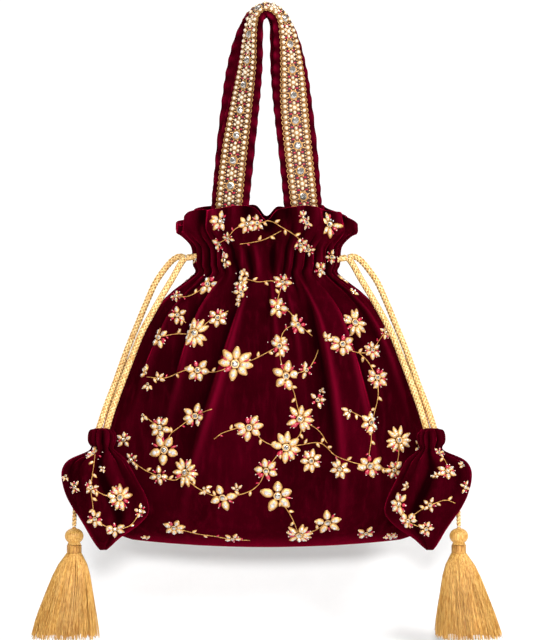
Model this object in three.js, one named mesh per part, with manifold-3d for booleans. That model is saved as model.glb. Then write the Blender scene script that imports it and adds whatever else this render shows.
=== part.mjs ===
// A potli: a drawstring pouch bag of embroidered velvet, with two jewelled handles, braided cords,
// a small gathered pouch on the end of each cord pair, and a silk tassel on each small pouch.
// Millimetres, +Z up, the front faces -Y. The origin is where the crossed handles hang.
import * as THREE from "three";
import { mergeVertices } from "three/addons/utils/BufferGeometryUtils.js";
import Module from "manifold-3d";

const wasm = await Module();
wasm.setup();

// Heights of the bag's main lines below the point where it hangs
const rimZ = -130;
const neckZ = -165;
const bottomZ = -368;

// The velvet bag
const bagWidth = 242;
const bagDepth = 88;
const neckWidth = 103;
const neckDepth = 50;
const frillWidth = 127;
const frillDepth = 60;
const velvet = 2.4;
const lining = 1;
const seamHeight = 7;
const cornerLift = 5;
const sectionPower = 2.2;

// Gathers, soft folds and the waves of the frill
const clothSteps = 80;
const pleatDepth = 2.2;
const pleatReach = 13;
const foldRise = 26;
const notchDepth = 9;
const notchWidth = 0.09;
const notchDrop = 8;
const tipDrop = 13;

// The raised flowers: how high they stand, how deep they are sewn in, and the share that a valley keeps
const flowerHeight = 1.5;
const flowerRoot = 1.3;
const flowerWaist = 0.5;

// Cords, and the casing and exits that they run through
const cordDiameter = 4.4;
const cordSpacing = 8;
const clearance = 0.3;
const holeMargin = 1.2;
const channelHeight = 2 * cordDiameter + 4 * clearance;
const channelDepth = cordDiameter + 6 * clearance;
const liningTopZ = neckZ + channelHeight / 2 + 5;
const exitX = 57;

// Handles
const strapWidth = 27;
const strapThickness = 3.4;
const trimWidth = 18;
const trimThickness = 1.4;
const stoneDiameter = 6.4;
const stoneHeight = 2;
const stoneCount = 18;

// Small pouches and tassels
const knobRadius = 8;
const pouchPleats = 7;
const pouchPleatDepth = 1.4;
const stringDiameter = 3;
const stringLength = 10.5;
const nubRadius = 1.8;
const headDiameter = 12.6;
const headHeight = 10.6;
const coreDiameter = 7;
const collarDiameter = 10;
const collarHeight = 5.4;
const skirtLength = 57.5;
const skirtDiameter = 46;
const skirtGrooves = 10;
const skirtLean = 7;

const velvetRed = new THREE.MeshStandardMaterial({ color: 0x4a0820, roughness: 0.85, metalness: 0 });
const satinRed = new THREE.MeshStandardMaterial({ color: 0x5c0f28, roughness: 0.45, metalness: 0 });
const jewelGold = new THREE.MeshStandardMaterial({ color: 0xd9b06a, roughness: 0.4, metalness: 0.4 });
const cordGold = new THREE.MeshStandardMaterial({ color: 0xd8a950, roughness: 0.6, metalness: 0.1 });
const silkGold = new THREE.MeshStandardMaterial({ color: 0xdcab58, roughness: 0.5, metalness: 0 });

const at = (x, y, z) => new THREE.Vector3(x, y, z);
const turn = 2 * Math.PI;
const bell = (distance) => Math.exp(-distance * distance);
const eased = (share) => THREE.MathUtils.smoothstep(share, 0, 1);

// A smooth curve through rows of [position, value, value, ...], read at one position.
function curveThrough(rows) {
  const slope = (i, k) => {
    const before = rows[Math.max(i - 1, 0)];
    const after = rows[Math.min(i + 1, rows.length - 1)];
    return (after[k] - before[k]) / (after[0] - before[0]);
  };
  return (position) => {
    const p = THREE.MathUtils.clamp(position, rows[0][0], rows.at(-1)[0]);
    const i = Math.min(rows.findLastIndex((row) => row[0] <= p), rows.length - 2);
    const span = rows[i + 1][0] - rows[i][0];
    const t = (p - rows[i][0]) / span;
    const [start, end] = [(1 + 2 * t) * (1 - t) ** 2, t * t * (3 - 2 * t)];
    const [leave, arrive] = [t * (1 - t) ** 2 * span, t * t * (t - 1) * span];
    return rows[i].slice(1).map((value, k) =>
      start * value + leave * slope(i, k + 1) + end * rows[i + 1][k + 1] + arrive * slope(i + 1, k + 1));
  };
}

// A closed surface through loops of points that all turn the same way, with both ends closed.
// Neighbouring loops may have different numbers of points. The sign of lean picks each quad's diagonal,
// so that two skins facing each other can be split the same way.
function skin(loops, lean = 1e-9) {
  const positions = [];
  const index = [];
  const firsts = loops.map((loop) => {
    const first = positions.length / 3;
    loop.forEach((p) => positions.push(p.x, p.y, p.z));
    return first;
  });
  for (let r = 0; r + 1 < loops.length; r++) {
    const [n, m] = [loops[r].length, loops[r + 1].length];
    let [i, j] = [0, 0];
    while (i < n || j < m) {
      const a = firsts[r] + (i % n);
      const b = firsts[r + 1] + (j % m);
      if (j === m || (i < n && (i + 1) / n < (j + 1) / m + lean)) {
        index.push(a, firsts[r] + ((i + 1) % n), b);
        i++;
      } else {
        index.push(a, firsts[r + 1] + ((j + 1) % m), b);
        j++;
      }
    }
  }
  const close = (loop, first, facing) => {
    const middle = loop.reduce((sum, p) => sum.add(p), at(0, 0, 0)).divideScalar(loop.length);
    const centre = positions.length / 3;
    positions.push(middle.x, middle.y, middle.z);
    loop.forEach((_, i) => {
      const pair = [first + i, first + ((i + 1) % loop.length)];
      index.push(centre, pair[facing], pair[1 - facing]);
    });
  };
  close(loops[0], firsts[0], 1);
  close(loops.at(-1), firsts.at(-1), 0);
  const geometry = new THREE.BufferGeometry();
  geometry.setAttribute("position", new THREE.Float32BufferAttribute(positions, 3));
  geometry.setIndex(index);
  return geometry;
}

const rotations = (count) => Array.from({ length: count }, (_, i) => (i / count) * turn);

function solidOf(geometry) {
  const bare = geometry.clone();
  bare.deleteAttribute("normal");
  bare.deleteAttribute("uv");
  const merged = mergeVertices(bare, 1e-4);
  return new wasm.Manifold(new wasm.Mesh({
    numProp: 3,
    vertProperties: new Float32Array(merged.attributes.position.array),
    triVerts: new Uint32Array(merged.index.array),
  }));
}

function geometryOf(solid) {
  const made = solid.getMesh();
  const geometry = new THREE.BufferGeometry();
  geometry.setAttribute("position", new THREE.BufferAttribute(new Float32Array(made.vertProperties), 3));
  geometry.setIndex(new THREE.BufferAttribute(new Uint32Array(made.triVerts), 1));
  return geometry;
}

function piece(name, geometry, material) {
  const mesh = new THREE.Mesh(geometry, material);
  mesh.name = name;
  return mesh;
}

// The bag's outline: half its width and half its depth at each height, from the bottom seam to the rim
const halfSizes = curveThrough([
  [bottomZ, 0.39 * bagWidth, 0.04 * bagDepth],
  [bottomZ + 3, 0.425 * bagWidth, 0.15 * bagDepth],
  [bottomZ + 10, 0.462 * bagWidth, 0.29 * bagDepth],
  [bottomZ + 24, 0.492 * bagWidth, 0.41 * bagDepth],
  [bottomZ + 48, 0.5 * bagWidth, 0.485 * bagDepth],
  [bottomZ + 80, 0.477 * bagWidth, 0.5 * bagDepth],
  [bottomZ + 113, 0.432 * bagWidth, 0.485 * bagDepth],
  [bottomZ + 142, 0.383 * bagWidth, 0.45 * bagDepth],
  [bottomZ + 165, 0.33 * bagWidth, 0.4 * bagDepth],
  [neckZ - 24, 0.5 * neckWidth + 15, 0.5 * neckDepth + 5],
  [neckZ - 17, 0.5 * neckWidth + 6, 0.5 * neckDepth + 2],
  [neckZ - 10, 0.5 * neckWidth - 1.5, 0.5 * neckDepth],
  [neckZ - 5, 0.5 * neckWidth + 0.2, 0.5 * neckDepth],
  [neckZ, 0.5 * neckWidth + 0.5, 0.5 * neckDepth],
  [neckZ + 8, 0.5 * neckWidth + 1.5, 0.5 * neckDepth],
  [neckZ + 15, 0.5 * frillWidth - 4.5, 0.5 * frillDepth - 2],
  [rimZ - tipDrop, 0.5 * frillWidth - 0.5, 0.5 * frillDepth],
  [rimZ, 0.5 * frillWidth - 1, 0.5 * frillDepth + 1],
]);

// Folds below the neck: place across the front from -1 to 1, depth, width, deepest height, reach downward
const folds = [
  [-0.86, 4.5, 0.1, -200, 50], [-0.62, 6, 0.075, -205, 55], [-0.36, 8, 0.07, -215, 75],
  [-0.16, 3.5, 0.06, -200, 45], [0.03, 4, 0.06, -195, 60], [0.2, 3, 0.06, -205, 60],
  [0.42, 8, 0.065, -212, 85], [0.66, 6.5, 0.07, -222, 62], [0.87, 4.5, 0.09, -205, 48],
];

// Folds of the frill: place, depth and width
const frillFolds = [
  [-0.96, 4, 0.15], [-0.72, 6.5, 0.11], [-0.47, 3.5, 0.08], [-0.22, 5.5, 0.09],
  [0.24, 4.5, 0.08], [0.45, 4, 0.08], [0.68, 6.5, 0.1], [0.9, 5, 0.13],
];

// Embroidered flowers of the front: x, z, petals and reach. The back carries the same ones.
const bagFlowers = [
  [-50, -216, 6, 10], [61, -208, 6, 9.5], [-21.5, -237, 6, 11], [13.5, -245, 5, 10], [52, -224, 6, 8.5],
  [-49, -273, 6, 8.5], [-12, -281, 6, 9], [23, -275, 6, 10], [72, -277, 5, 8], [-70.5, -296, 5, 10],
  [-56, -312, 6, 9.5], [13.5, -297, 6, 10], [71, -307, 6, 9], [-30.5, -329, 4, 9], [7, -328, 5, 11],
  [22, -353, 6, 8],
];
const pouchFlowers = [[-100.5, -331, 6, 9], [-116, -346, 5, 6.5]];

// Where the frill turns in at the middle of the front and back
const notch = (angle) => bell(Math.cos(angle) / notchWidth);
const aboveNeck = (z) => eased((z - liningTopZ) / (rimZ - liningTopZ));

// The angle round the bag's section of a place across its front
const placeAngle = (place) => -Math.PI / 2 + Math.asin(Math.sign(place) * Math.abs(place) ** (sectionPower / 2));
const wrapped = (angle) => angle - turn * Math.round(angle / turn);

// Adds up what each fold of a list does at an angle. The back has the front's folds, turned half round.
function creased(list, angle, shift) {
  const away = (place) => angle - placeAngle(place);
  const each = ([place, ...fold]) => shift(wrapped(away(place)), fold) + shift(wrapped(away(place) - Math.PI), fold);
  return list.reduce((sum, fold) => sum + each(fold), 0);
}

// Each long fold is a narrow valley with a rounded ridge beside it, and it opens out on its way down.
function softFolds(angle, z) {
  const opened = 1 + 0.012 * THREE.MathUtils.clamp(neckZ - z, 0, 90);
  const below = eased((neckZ - 4 - z) / 16);
  return below * creased(folds, angle, (away, [depth, width, deepest, reach]) => {
    const strength = depth * bell((z - deepest) / (z < deepest ? reach : foldRise));
    const spread = width * opened;
    return strength * (0.55 * bell((away - 1.9 * spread) / (1.3 * spread)) - bell(away / spread));
  });
}

function frillWaves(angle, z) {
  const waves = creased(frillFolds, angle, (away, [depth, width]) =>
    depth * (0.7 * bell((away - 1.5 * width) / width) - bell(away / width)));
  return aboveNeck(z) * (waves - notchDepth * notch(angle));
}

const gathers = (z) => pleatDepth * bell((z - neckZ) / pleatReach);

// A point of the cloth at a depth below its unfolded face, moved by whatever folds are given
function clothPoint(angle, z, depth, folds = []) {
  const [a, b] = halfSizes(z);
  const [c, s] = [Math.cos(angle), Math.sin(angle)];
  const x = a * Math.sign(c) * Math.abs(c) ** (2 / sectionPower);
  const y = b * Math.sign(s) * Math.abs(s) ** (2 / sectionPower);
  const out = new THREE.Vector2(c / a, s / b).normalize();
  const shift = folds.reduce((sum, fold) => sum + fold(angle, z), -depth);
  const corner = cornerLift * (x / a) ** 2 * bell((z - bottomZ) / 40);
  return at(x + out.x * shift, y + out.y * shift, z + corner);
}

const faceDepth = (z) => velvet + gathers(z);

// The rim dips at its two tips and where the frill turns in.
function rimPoint(angle, depth) {
  const point = clothPoint(angle, rimZ, depth, [frillWaves]);
  point.z -= tipDrop * Math.cos(angle) ** 6 + notchDrop * notch(angle);
  return point;
}

// Directions round the section. In the fine set, the one nearest to each valley is moved onto it.
const fine = rotations(clothSteps);
folds.flatMap(([place]) => [placeAngle(place), placeAngle(place) + Math.PI]).forEach((valley) => {
  const nearest = Math.round((valley / turn) * clothSteps + clothSteps) % clothSteps;
  fine[nearest] += wrapped(valley - fine[nearest]);
});
const plain = rotations(clothSteps / 2);
const coarse = rotations(clothSteps / 4);
const low = [38, 18].map((rise) => bottomZ + rise);
const casing = [liningTopZ, neckZ + 6, neckZ, neckZ - 6, neckZ - 12];
const folded = [neckZ - 18, neckZ - 25].concat([160, 142, 122, 98, 68].map((rise) => bottomZ + rise));
const valleyDepth = (z) => Math.max(...fine.map((angle) => -softFolds(angle, z)));

// A flower of raised petals, its root below the cloth's face. The up direction is +Z.
function flower(petals, reach) {
  const ring = (scale, z) => rotations(2 * petals).map((angle, i) => {
    const radius = reach * scale * (i % 2 === 0 ? 1 : flowerWaist);
    return at(radius * Math.cos(angle), radius * Math.sin(angle), z);
  });
  const crown = ring(0.8, flowerHeight).filter((_, i) => i % 2 === 1);
  return skin([ring(1, -flowerRoot), ring(1, 0.5), crown]);
}

// Sets a flower on a surface given as a function of angle and height, facing along the surface's normal.
function sewnOn(surface, x, z, petals, reach) {
  const search = rotations(720).filter((angle) => angle > Math.PI);
  const miss = (angle) => Math.abs(surface(angle, z).x - x);
  const angle = search.reduce((best, other) => (miss(other) < miss(best) ? other : best));
  const place = surface(angle, z);
  const side = surface(angle + 0.06, z).sub(surface(angle - 0.06, z)).normalize();
  const up = surface(angle, z + 6).sub(surface(angle, z - 6)).normalize();
  const face = side.clone().cross(up).normalize();
  const turned = new THREE.Matrix4().makeBasis(side, face.clone().cross(side), face);
  const sewn = flower(petals, reach).applyMatrix4(turned);
  return sewn.translate(place.x, place.y, place.z);
}

const fused = (solid, geometries) => geometries.reduce((sum, geometry) => sum.add(solidOf(geometry)), solid);

// The velvet bag with its gathered neck and frill, one sewn skin with a slot each side for the cord ends
function bagShell() {
  const outside = [bottomZ, bottomZ + 2, bottomZ + 7, ...low.toReversed()];
  const gathered = [...folded.toReversed()].concat([-13, -9, -5, 0, 5, 9, 14, 20].map((rise) => neckZ + rise));
  const loop = (angles, z, depth, ...shifts) => angles.map((angle) => clothPoint(angle, z, depth, shifts));
  const pleated = (z) => fine.map((angle, i) => clothPoint(angle, z, (i % 2) * gathers(z), [softFolds, frillWaves]));
  const sewn = skin([
    ...outside.map((z) => loop(plain, z, 0, softFolds)),
    ...gathered.map(pleated),
    fine.map((angle) => rimPoint(angle, 0)),
    fine.map((angle) => rimPoint(angle, velvet)),
    loop(fine, neckZ + 20, faceDepth(neckZ + 20), frillWaves),
    ...casing.map((z) => loop(plain, z, faceDepth(z), softFolds)),
    ...folded.map((z) => loop(fine, z, faceDepth(z), softFolds)),
    ...[...low, bottomZ + seamHeight].map((z) => loop(plain, z, velvet, softFolds)),
  ]);
  const half = cordSpacing / 2 + cordDiameter / 2 + holeMargin;
  const slots = [-1, 1].map((side) => {
    const slot = new THREE.BoxGeometry(29, 2 * half, cordDiameter + 2 * holeMargin);
    slot.translate(side * exitX, 0, neckZ - 0.6 * side);
    return solidOf(slot);
  });
  const cloth = (angle, z) => clothPoint(angle, z, 0, [softFolds]);
  const front = bagFlowers.map((row) => sewnOn(cloth, ...row));
  const back = front.map((geometry) => geometry.clone().rotateZ(Math.PI));
  const flowered = fused(solidOf(sewn), [...front, ...back]);
  return geometryOf(slots.reduce((solid, slot) => solid.subtract(slot), flowered));
}

// The satin lining hangs inside the velvet; at the neck it stands off to make the casing for the cords.
function liningSack() {
  const standOff = (z) => channelDepth * eased((11 - Math.abs(z - neckZ)) / 5);
  const gap = (z) => faceDepth(z) + valleyDepth(z) + clearance + standOff(z);
  const wall = (depth) => [...casing, ...folded, ...low, bottomZ + seamHeight].map((z) =>
    coarse.map((angle) => clothPoint(angle, z, gap(z) + depth)));
  const [outer, inner] = [wall(0), wall(lining)];
  outer.at(-1).forEach((point) => (point.z += clearance));
  inner.at(-1).forEach((point) => (point.z += clearance + lining));
  return skin([...outer.toReversed(), ...inner]);
}

// A drawstring runs round inside the casing and both its ends leave through the slot on its own side.
function drawstring() {
  const depth = velvet + pleatDepth + 3 * clearance + cordDiameter / 2;
  const level = neckZ + cordDiameter / 2 + clearance;
  const end = exitX - cordDiameter / 2 - 1.3 * clearance;
  const exit = [at(-end, -cordSpacing / 2, neckZ), at(4 - end, -cordSpacing / 2, neckZ + 0.12 * cordDiameter)];
  const back = exit.map((p) => at(p.x, -p.y, p.z)).toReversed();
  const around = Array.from({ length: 23 }, (_, i) => clothPoint(Math.PI + turn * ((i + 1.5) / 25), neckZ, depth));
  around.forEach((point) => (point.z = level));
  return cord([...exit, ...around, ...back], cordDiameter, 8, 30);
}

// A round cord along a route
function cord(route, diameter, sides, steps) {
  const outline = new THREE.Shape();
  rotations(sides).forEach((angle, i) => {
    const corner = [(diameter / 2) * Math.cos(angle), (diameter / 2) * Math.sin(angle)];
    if (i === 0) outline.moveTo(...corner);
    else outline.lineTo(...corner);
  });
  const extrudePath = new THREE.CatmullRomCurve3(route);
  return new THREE.ExtrudeGeometry(outline, { steps, extrudePath, bevelEnabled: false });
}

// Routes of the left pair of free cords, from the neck over the bag's side to the small pouch
const outerRoute = [
  at(-exitX, 4, neckZ), at(-61.5, 4.4, -164.4), at(-66.5, 4.2, -167.5), at(-72, 3, -174), at(-78, 2, -183),
  at(-83.4, 0, -195), at(-90, -3, -211), at(-98, -9, -231), at(-105, -17, -251), at(-111.4, -26, -268),
  at(-116.4, -36, -284),
];
const innerRoute = [
  at(-exitX, -4, neckZ), at(-60.5, -5.6, -170), at(-65.5, -9.5, -179), at(-71.5, -13.2, -189),
  at(-78.5, -15.4, -201), at(-87, -17.4, -217), at(-94.6, -18.4, -236), at(-100.6, -22, -252),
  at(-106.6, -28.4, -269), at(-111.2, -36, -284.85),
];

// A free cord begins as a ball where it swings and stops just above the small pouch's knob.
function freeCord(route) {
  const ball = new THREE.SphereGeometry(cordDiameter / 2, 8, 6);
  ball.translate(route[0].x, route[0].y, route[0].z);
  return geometryOf(solidOf(cord(route, cordDiameter, 8, 14)).add(solidOf(ball)));
}

// The small pouch: height, left edge, right edge and half depth of its front view, top to bottom
const knob = at(-113.8, -37, -293);
const pouchY = -42.5;
const pouchRows = curveThrough([
  [-365, -115, -110, 1.5], [-362, -117.4, -106.5, 5], [-357, -120.6, -101, 9.5], [-350, -124.8, -91, 13],
  [-342, -130, -83, 15.5], [-336, -134, -81.4, 16.8], [-327, -138.5, -83.6, 17.2], [-317, -141.2, -88.5, 16.5],
  [-309, -141, -92.8, 14.5], [-303, -136.5, -96.5, 12], [-297.5, -128.5, -101, 9],
  [knob.z, knob.x - knobRadius, knob.x + knobRadius, knobRadius],
]);

const pouchSides = rotations(28);
const knobRise = (share) => knob.z + knobRadius * share;

function pouchPoint(angle, z, inset = 0) {
  const [left, right, halfDepth] = pouchRows(z);
  const bend = eased((knob.z - z) / 30);
  const fold = pouchPleatDepth * (0.4 + 0.6 * bell((z - knob.z + 12) / 16)) * (Math.cos(pouchPleats * angle) - 1);
  const shrink = bend === 0 ? 0 : fold * eased((knob.z - z) / 6) - inset;
  const x = (left + right) / 2 + ((right - left) / 2 + shrink) * Math.cos(angle);
  return at(x, knob.y + (pouchY - knob.y) * bend + (halfDepth + 0.7 * shrink) * Math.sin(angle), z);
}

function pouch() {
  const dome = [0.45, 0.8, 0.96].map((share) => pouchSides.filter((_, i) => i % 2 === 0).map((angle) => {
    const radius = knobRadius * Math.sqrt(1 - share * share);
    return at(knob.x + radius * Math.cos(angle), knob.y + radius * Math.sin(angle), knobRise(share));
  }));
  const heights = [-365, -363, -359, -352, -344, -336, -327, -317, -309, -303, -297.5, knob.z];
  const sack = skin([...heights.map((z) => pouchSides.map((angle) => pouchPoint(angle, z))), ...dome]);
  return geometryOf(fused(solidOf(sack), pouchFlowers.map((row) => sewnOn(pouchPoint, ...row))));
}

// The tassel's string hangs from a ball behind the pouch's lower corner.
const stringTop = pouchPoint(2.75, -338, -stringDiameter / 2 - clearance);
const nub = at(stringTop.x - 0.5, stringTop.y, stringTop.z - stringLength - clearance - nubRadius);

function tasselString() {
  const foot = at(nub.x, nub.y, nub.z + nubRadius + clearance);
  const ball = new THREE.SphereGeometry(stringDiameter / 2, 8, 4);
  ball.translate(stringTop.x, stringTop.y, stringTop.z);
  const thread = cord([stringTop, stringTop.clone().lerp(foot, 0.5), foot], stringDiameter, 8, 4);
  return geometryOf(solidOf(thread).add(solidOf(ball)));
}

function lathed(rows, sides) {
  const profile = rows.map(([radius, z]) => new THREE.Vector2(radius, z));
  const turned = new THREE.LatheGeometry(profile, sides);
  turned.rotateX(Math.PI / 2);
  turned.translate(nub.x, nub.y, nub.z);
  return turned;
}

// Heights below the nub on the head where the tassel swings
const headFootZ = -headHeight - 0.8;
const collarTopZ = headFootZ - clearance;
const collarFootZ = collarTopZ - collarHeight;

function tasselHead() {
  const middle = (headFootZ - 0.8) / 2;
  const ball = Array.from({ length: 7 }, (_, i) => {
    const lean = Math.PI * (0.12 + (0.72 * i) / 6);
    return [(headDiameter / 2) * Math.sin(lean), middle + (headHeight / 2) * 1.06 * Math.cos(lean)];
  });
  const nubRows = [[0, nubRadius], [0.6 * nubRadius, 0.8 * nubRadius], [nubRadius, 0]];
  return lathed([...nubRows, ...ball, [collarDiameter / 2 - 1, headFootZ], [0, headFootZ]].toReversed(), 16);
}

function tasselCollar() {
  const [hole, outer] = [coreDiameter / 2 + clearance, collarDiameter / 2];
  const middle = (collarTopZ + collarFootZ) / 2;
  return lathed([
    [hole, collarFootZ], [outer - 0.4, collarFootZ], [outer, collarFootZ + 1], [outer - 0.6, middle],
    [outer, collarTopZ - 1], [outer - 0.4, collarTopZ], [hole, collarTopZ], [hole, collarFootZ],
  ], 16);
}

// The silk strands as one fluted skirt, with a core that goes up through the collar
function tasselSkirt() {
  const top = collarFootZ - clearance;
  const length = skirtLength;
  const rows = [[0.02, 0.22], [0.08, 0.36], [0.25, 0.53], [0.5, 0.72], [0.8, 0.93], [1, 1]];
  const sides = rotations(2 * skirtGrooves);
  const ring = (share, width) => sides.map((angle, i) => {
    const groove = 1 - 0.1 * (i % 2) * Math.min(1, 2 * share);
    const radius = (skirtDiameter / 2) * width * groove;
    const ragged = share === 1 ? 2.2 * Math.sin(3 * angle) : 0;
    return at(nub.x - skirtLean * share + radius * Math.cos(angle), nub.y + radius * Math.sin(angle),
      nub.z + top - length * share + ragged);
  });
  const core = (z) => sides.filter((_, i) => i % 2 === 0).map((angle) =>
    at(nub.x + (coreDiameter / 2) * Math.cos(angle), nub.y + (coreDiameter / 2) * Math.sin(angle), nub.z + z));
  const hollow = ring(0.94, 0.55);
  return skin([core(collarTopZ), core(top), ...rows.map((row) => ring(...row)), hollow].toReversed());
}

// The front handle: share of its length, x, y, z, twist in degrees and width, from the left foot over the top
const footX = -26.5;
const footZ = liningTopZ + 3 * clearance;
const footTwist = -24;
const footY = clothPoint(-Math.PI / 2 - 0.52, footZ, faceDepth(footZ) + clearance + strapThickness / 2).y + 2.9;
const strapLine = curveThrough([
  [0, footX, footY, footZ, footTwist, 0.94], [0.06, -25.8, footY - 0.6, -134, -18, 1],
  [0.2, -21.4, -15, -92, -22, 1], [0.29, -16.2, -13.6, -61, -37, 1], [0.385, -11.2, -12.4, -30, -50, 0.96],
  [0.445, -9.2, -11.4, -9, -57, 0.86], [0.48, -6.6, -10.6, 3, -61, 0.74], [0.505, 0, -10.2, 7.5, -63, 0.68],
  [0.53, 8.4, -10.4, 2.8, -58, 0.74], [0.57, 13, -11.2, -10, -46, 0.86], [0.63, 16, -12, -30, -32, 0.95],
  [0.72, 18.8, -13, -61, -10, 1], [0.8, 22, -15, -92, -5, 1], [0.94, 25.8, footY - 0.6, -134, -18, 1],
  [1, -footX, footY, footZ, footTwist, 0.94],
]);

// Where the strap is at a share of its length, with its direction across and its outward face
function strapFrame(share) {
  const [x, y, z, twist, width] = strapLine(share);
  const step = 0.004;
  const [ax, ay, az] = strapLine(Math.min(share + step, 1));
  const [bx, by, bz] = strapLine(Math.max(share - step, 0));
  const along = at(ax - bx, ay - by, az - bz).normalize();
  const flat = at(0, 1, 0).cross(along).normalize();
  const across = flat.clone().applyAxisAngle(along, THREE.MathUtils.degToRad(twist));
  return { middle: at(x, y, z), along, across, face: across.clone().cross(along), width };
}

// A point of the handle: a share of its length, millimetres across it and above its middle
function onStrap(share, sideways, up) {
  const frame = strapFrame(share);
  return frame.middle.addScaledVector(frame.across, sideways * frame.width).addScaledVector(frame.face, up);
}

// Stations along a handle stand close together where it turns over the top.
const evenly = Array.from({ length: 49 }, (_, i) => (i - 24) / 24);
const stations = evenly.map((u) => 0.5 + 0.5 * u * (0.35 + 0.65 * u * u));

function ribbon(shares, section, lean) {
  const loops = shares.map((share) => section.map(([sideways, up]) => onStrap(share, sideways, up)));
  return skin(loops.toReversed(), lean);
}

function strap() {
  const [w, t] = [strapWidth / 2, strapThickness / 2];
  return ribbon(stations, [[-w, 0], [-w + 1.6, -t], [w - 1.6, -t], [w, 0], [w - 1.6, t], [-w + 1.6, t]]);
}

// The jewelled trim lies on the strap's outward face, with raised edges and a row of set stones.
function trim() {
  const shares = stations.slice(1, -1);
  const [w, under] = [trimWidth / 2, strapThickness / 2 + 1.5 * clearance];
  const top = under + trimThickness;
  const section = [[-w, under], [w, under], [w, top], [w - 3, top - 0.6], [3 - w, top - 0.6], [-w, top]];
  const band = ribbon(shares, section, -1e-9);
  const stones = Array.from({ length: stoneCount }, (_, i) => {
    const share = THREE.MathUtils.lerp(shares[0], shares.at(-1), (i + 0.5) / stoneCount);
    const frame = strapFrame(share);
    const stone = new THREE.CylinderGeometry(0.28 * stoneDiameter, 0.5 * stoneDiameter, stoneHeight, 6);
    stone.applyMatrix4(new THREE.Matrix4().makeBasis(frame.across, frame.face, frame.along.clone().negate()));
    const place = onStrap(share, 0, top - 0.95 + stoneHeight / 2);
    return solidOf(stone.translate(place.x, place.y, place.z));
  });
  return geometryOf(stones.reduce((solid, stone) => solid.add(stone), solidOf(band)));
}

// The same piece on the bag's other side: mirrored left to right, or turned round to the back
function mirrored(geometry) {
  const other = mergeVertices(geometry.deleteAttribute("normal").deleteAttribute("uv"), 1e-4);
  other.scale(-1, 1, 1);
  other.index.array.reverse();
  return other;
}

const turnedRound = (geometry) => geometry.clone().rotateZ(Math.PI);

const bag = new THREE.Group();
bag.name = "potli_bag";
bag.add(piece("bag_shell", bagShell(), velvetRed));
bag.add(piece("lining", liningSack(), satinRed));
bag.add(piece("handle_front_strap", strap(), velvetRed));
bag.add(piece("handle_front_trim", trim(), jewelGold));
bag.add(piece("handle_back_strap", turnedRound(strap()), velvetRed));
bag.add(piece("handle_back_trim", turnedRound(trim()), jewelGold));
for (const [side, place] of [["left", (g) => g], ["right", mirrored]]) {
  bag.add(piece(`cord_${side}_outer`, place(freeCord(outerRoute)), cordGold));
  bag.add(piece(`cord_${side}_inner`, place(freeCord(innerRoute)), cordGold));
  bag.add(piece(`pouch_${side}`, place(pouch()), velvetRed));
  bag.add(piece(`tassel_${side}_string`, place(tasselString()), silkGold));
  bag.add(piece(`tassel_${side}_head`, place(tasselHead()), cordGold));
  bag.add(piece(`tassel_${side}_collar`, place(tasselCollar()), jewelGold));
  bag.add(piece(`tassel_${side}_skirt`, place(tasselSkirt()), silkGold));
}
const leftString = drawstring();
const rightString = leftString.clone().translate(0, 0, -neckZ).rotateY(Math.PI).translate(0, 0, neckZ);
bag.add(piece("drawstring_left", leftString, cordGold));
bag.add(piece("drawstring_right", rightString, cordGold));

export default bag;
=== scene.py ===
# %% [markdown]
# A potli bag, dressed in Blender
#
# This lesson dresses a drawstring evening bag: gathered velvet, embroidered flowers, two jewelled handles,
# four braided cords, two small gathered pouches and two silk tassels. The plain solid model is loaded first
# and stays as the frame: every piece made here rides on one of its bodies and stands in for its solids.

import bpy
import math
import numpy as np
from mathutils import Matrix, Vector
from mathutils.bvhtree import BVHTree


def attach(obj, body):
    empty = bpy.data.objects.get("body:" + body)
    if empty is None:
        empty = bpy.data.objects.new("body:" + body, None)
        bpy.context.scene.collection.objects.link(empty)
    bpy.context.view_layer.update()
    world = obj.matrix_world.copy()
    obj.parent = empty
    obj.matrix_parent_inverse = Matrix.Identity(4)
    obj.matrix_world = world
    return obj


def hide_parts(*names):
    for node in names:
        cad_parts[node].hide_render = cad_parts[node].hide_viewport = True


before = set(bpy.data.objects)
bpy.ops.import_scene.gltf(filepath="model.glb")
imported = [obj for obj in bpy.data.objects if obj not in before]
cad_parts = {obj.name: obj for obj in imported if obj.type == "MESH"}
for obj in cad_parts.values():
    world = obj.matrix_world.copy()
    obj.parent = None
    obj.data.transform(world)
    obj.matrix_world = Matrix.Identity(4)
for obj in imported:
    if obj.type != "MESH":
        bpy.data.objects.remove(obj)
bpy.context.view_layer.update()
MM = 0.001
TURN = 2 * math.pi
rng = np.random.default_rng(7)

# %% [markdown]
# The camera is made first. A long lens from about two metres keeps the bag's sides nearly parallel, as in a
# catalogue photograph, and it stands a little above the middle of the bag.

# %% Camera
PHOTO = (533, 640)
HANG_ROW = 22  # the photograph's row of the point from which the bag hangs
MM_PER_PIXEL = 0.7
DISTANCE = 2.2
RISE = math.radians(3)
SENSOR = 36
camera_data = bpy.data.cameras.new("camera")
camera = bpy.data.objects.new("camera", camera_data)
bpy.context.scene.collection.objects.link(camera)
bpy.context.scene.camera = camera
middle = Vector((0, 0, (HANG_ROW - PHOTO[1] / 2) * MM_PER_PIXEL * MM))
camera.location = middle + Vector((0, -math.cos(RISE), math.sin(RISE))) * DISTANCE
camera.rotation_euler = (math.pi / 2 - RISE, 0, 0)
camera_data.lens = SENSOR * DISTANCE / (PHOTO[1] * MM_PER_PIXEL * MM)
print("lens:", round(camera_data.lens, 1), "mm")

# %% [markdown]
# Meshes come from grids of points worked out in numpy. A grid whose last column joins its first is a tube,
# and either end of it can be closed with a fan.

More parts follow.
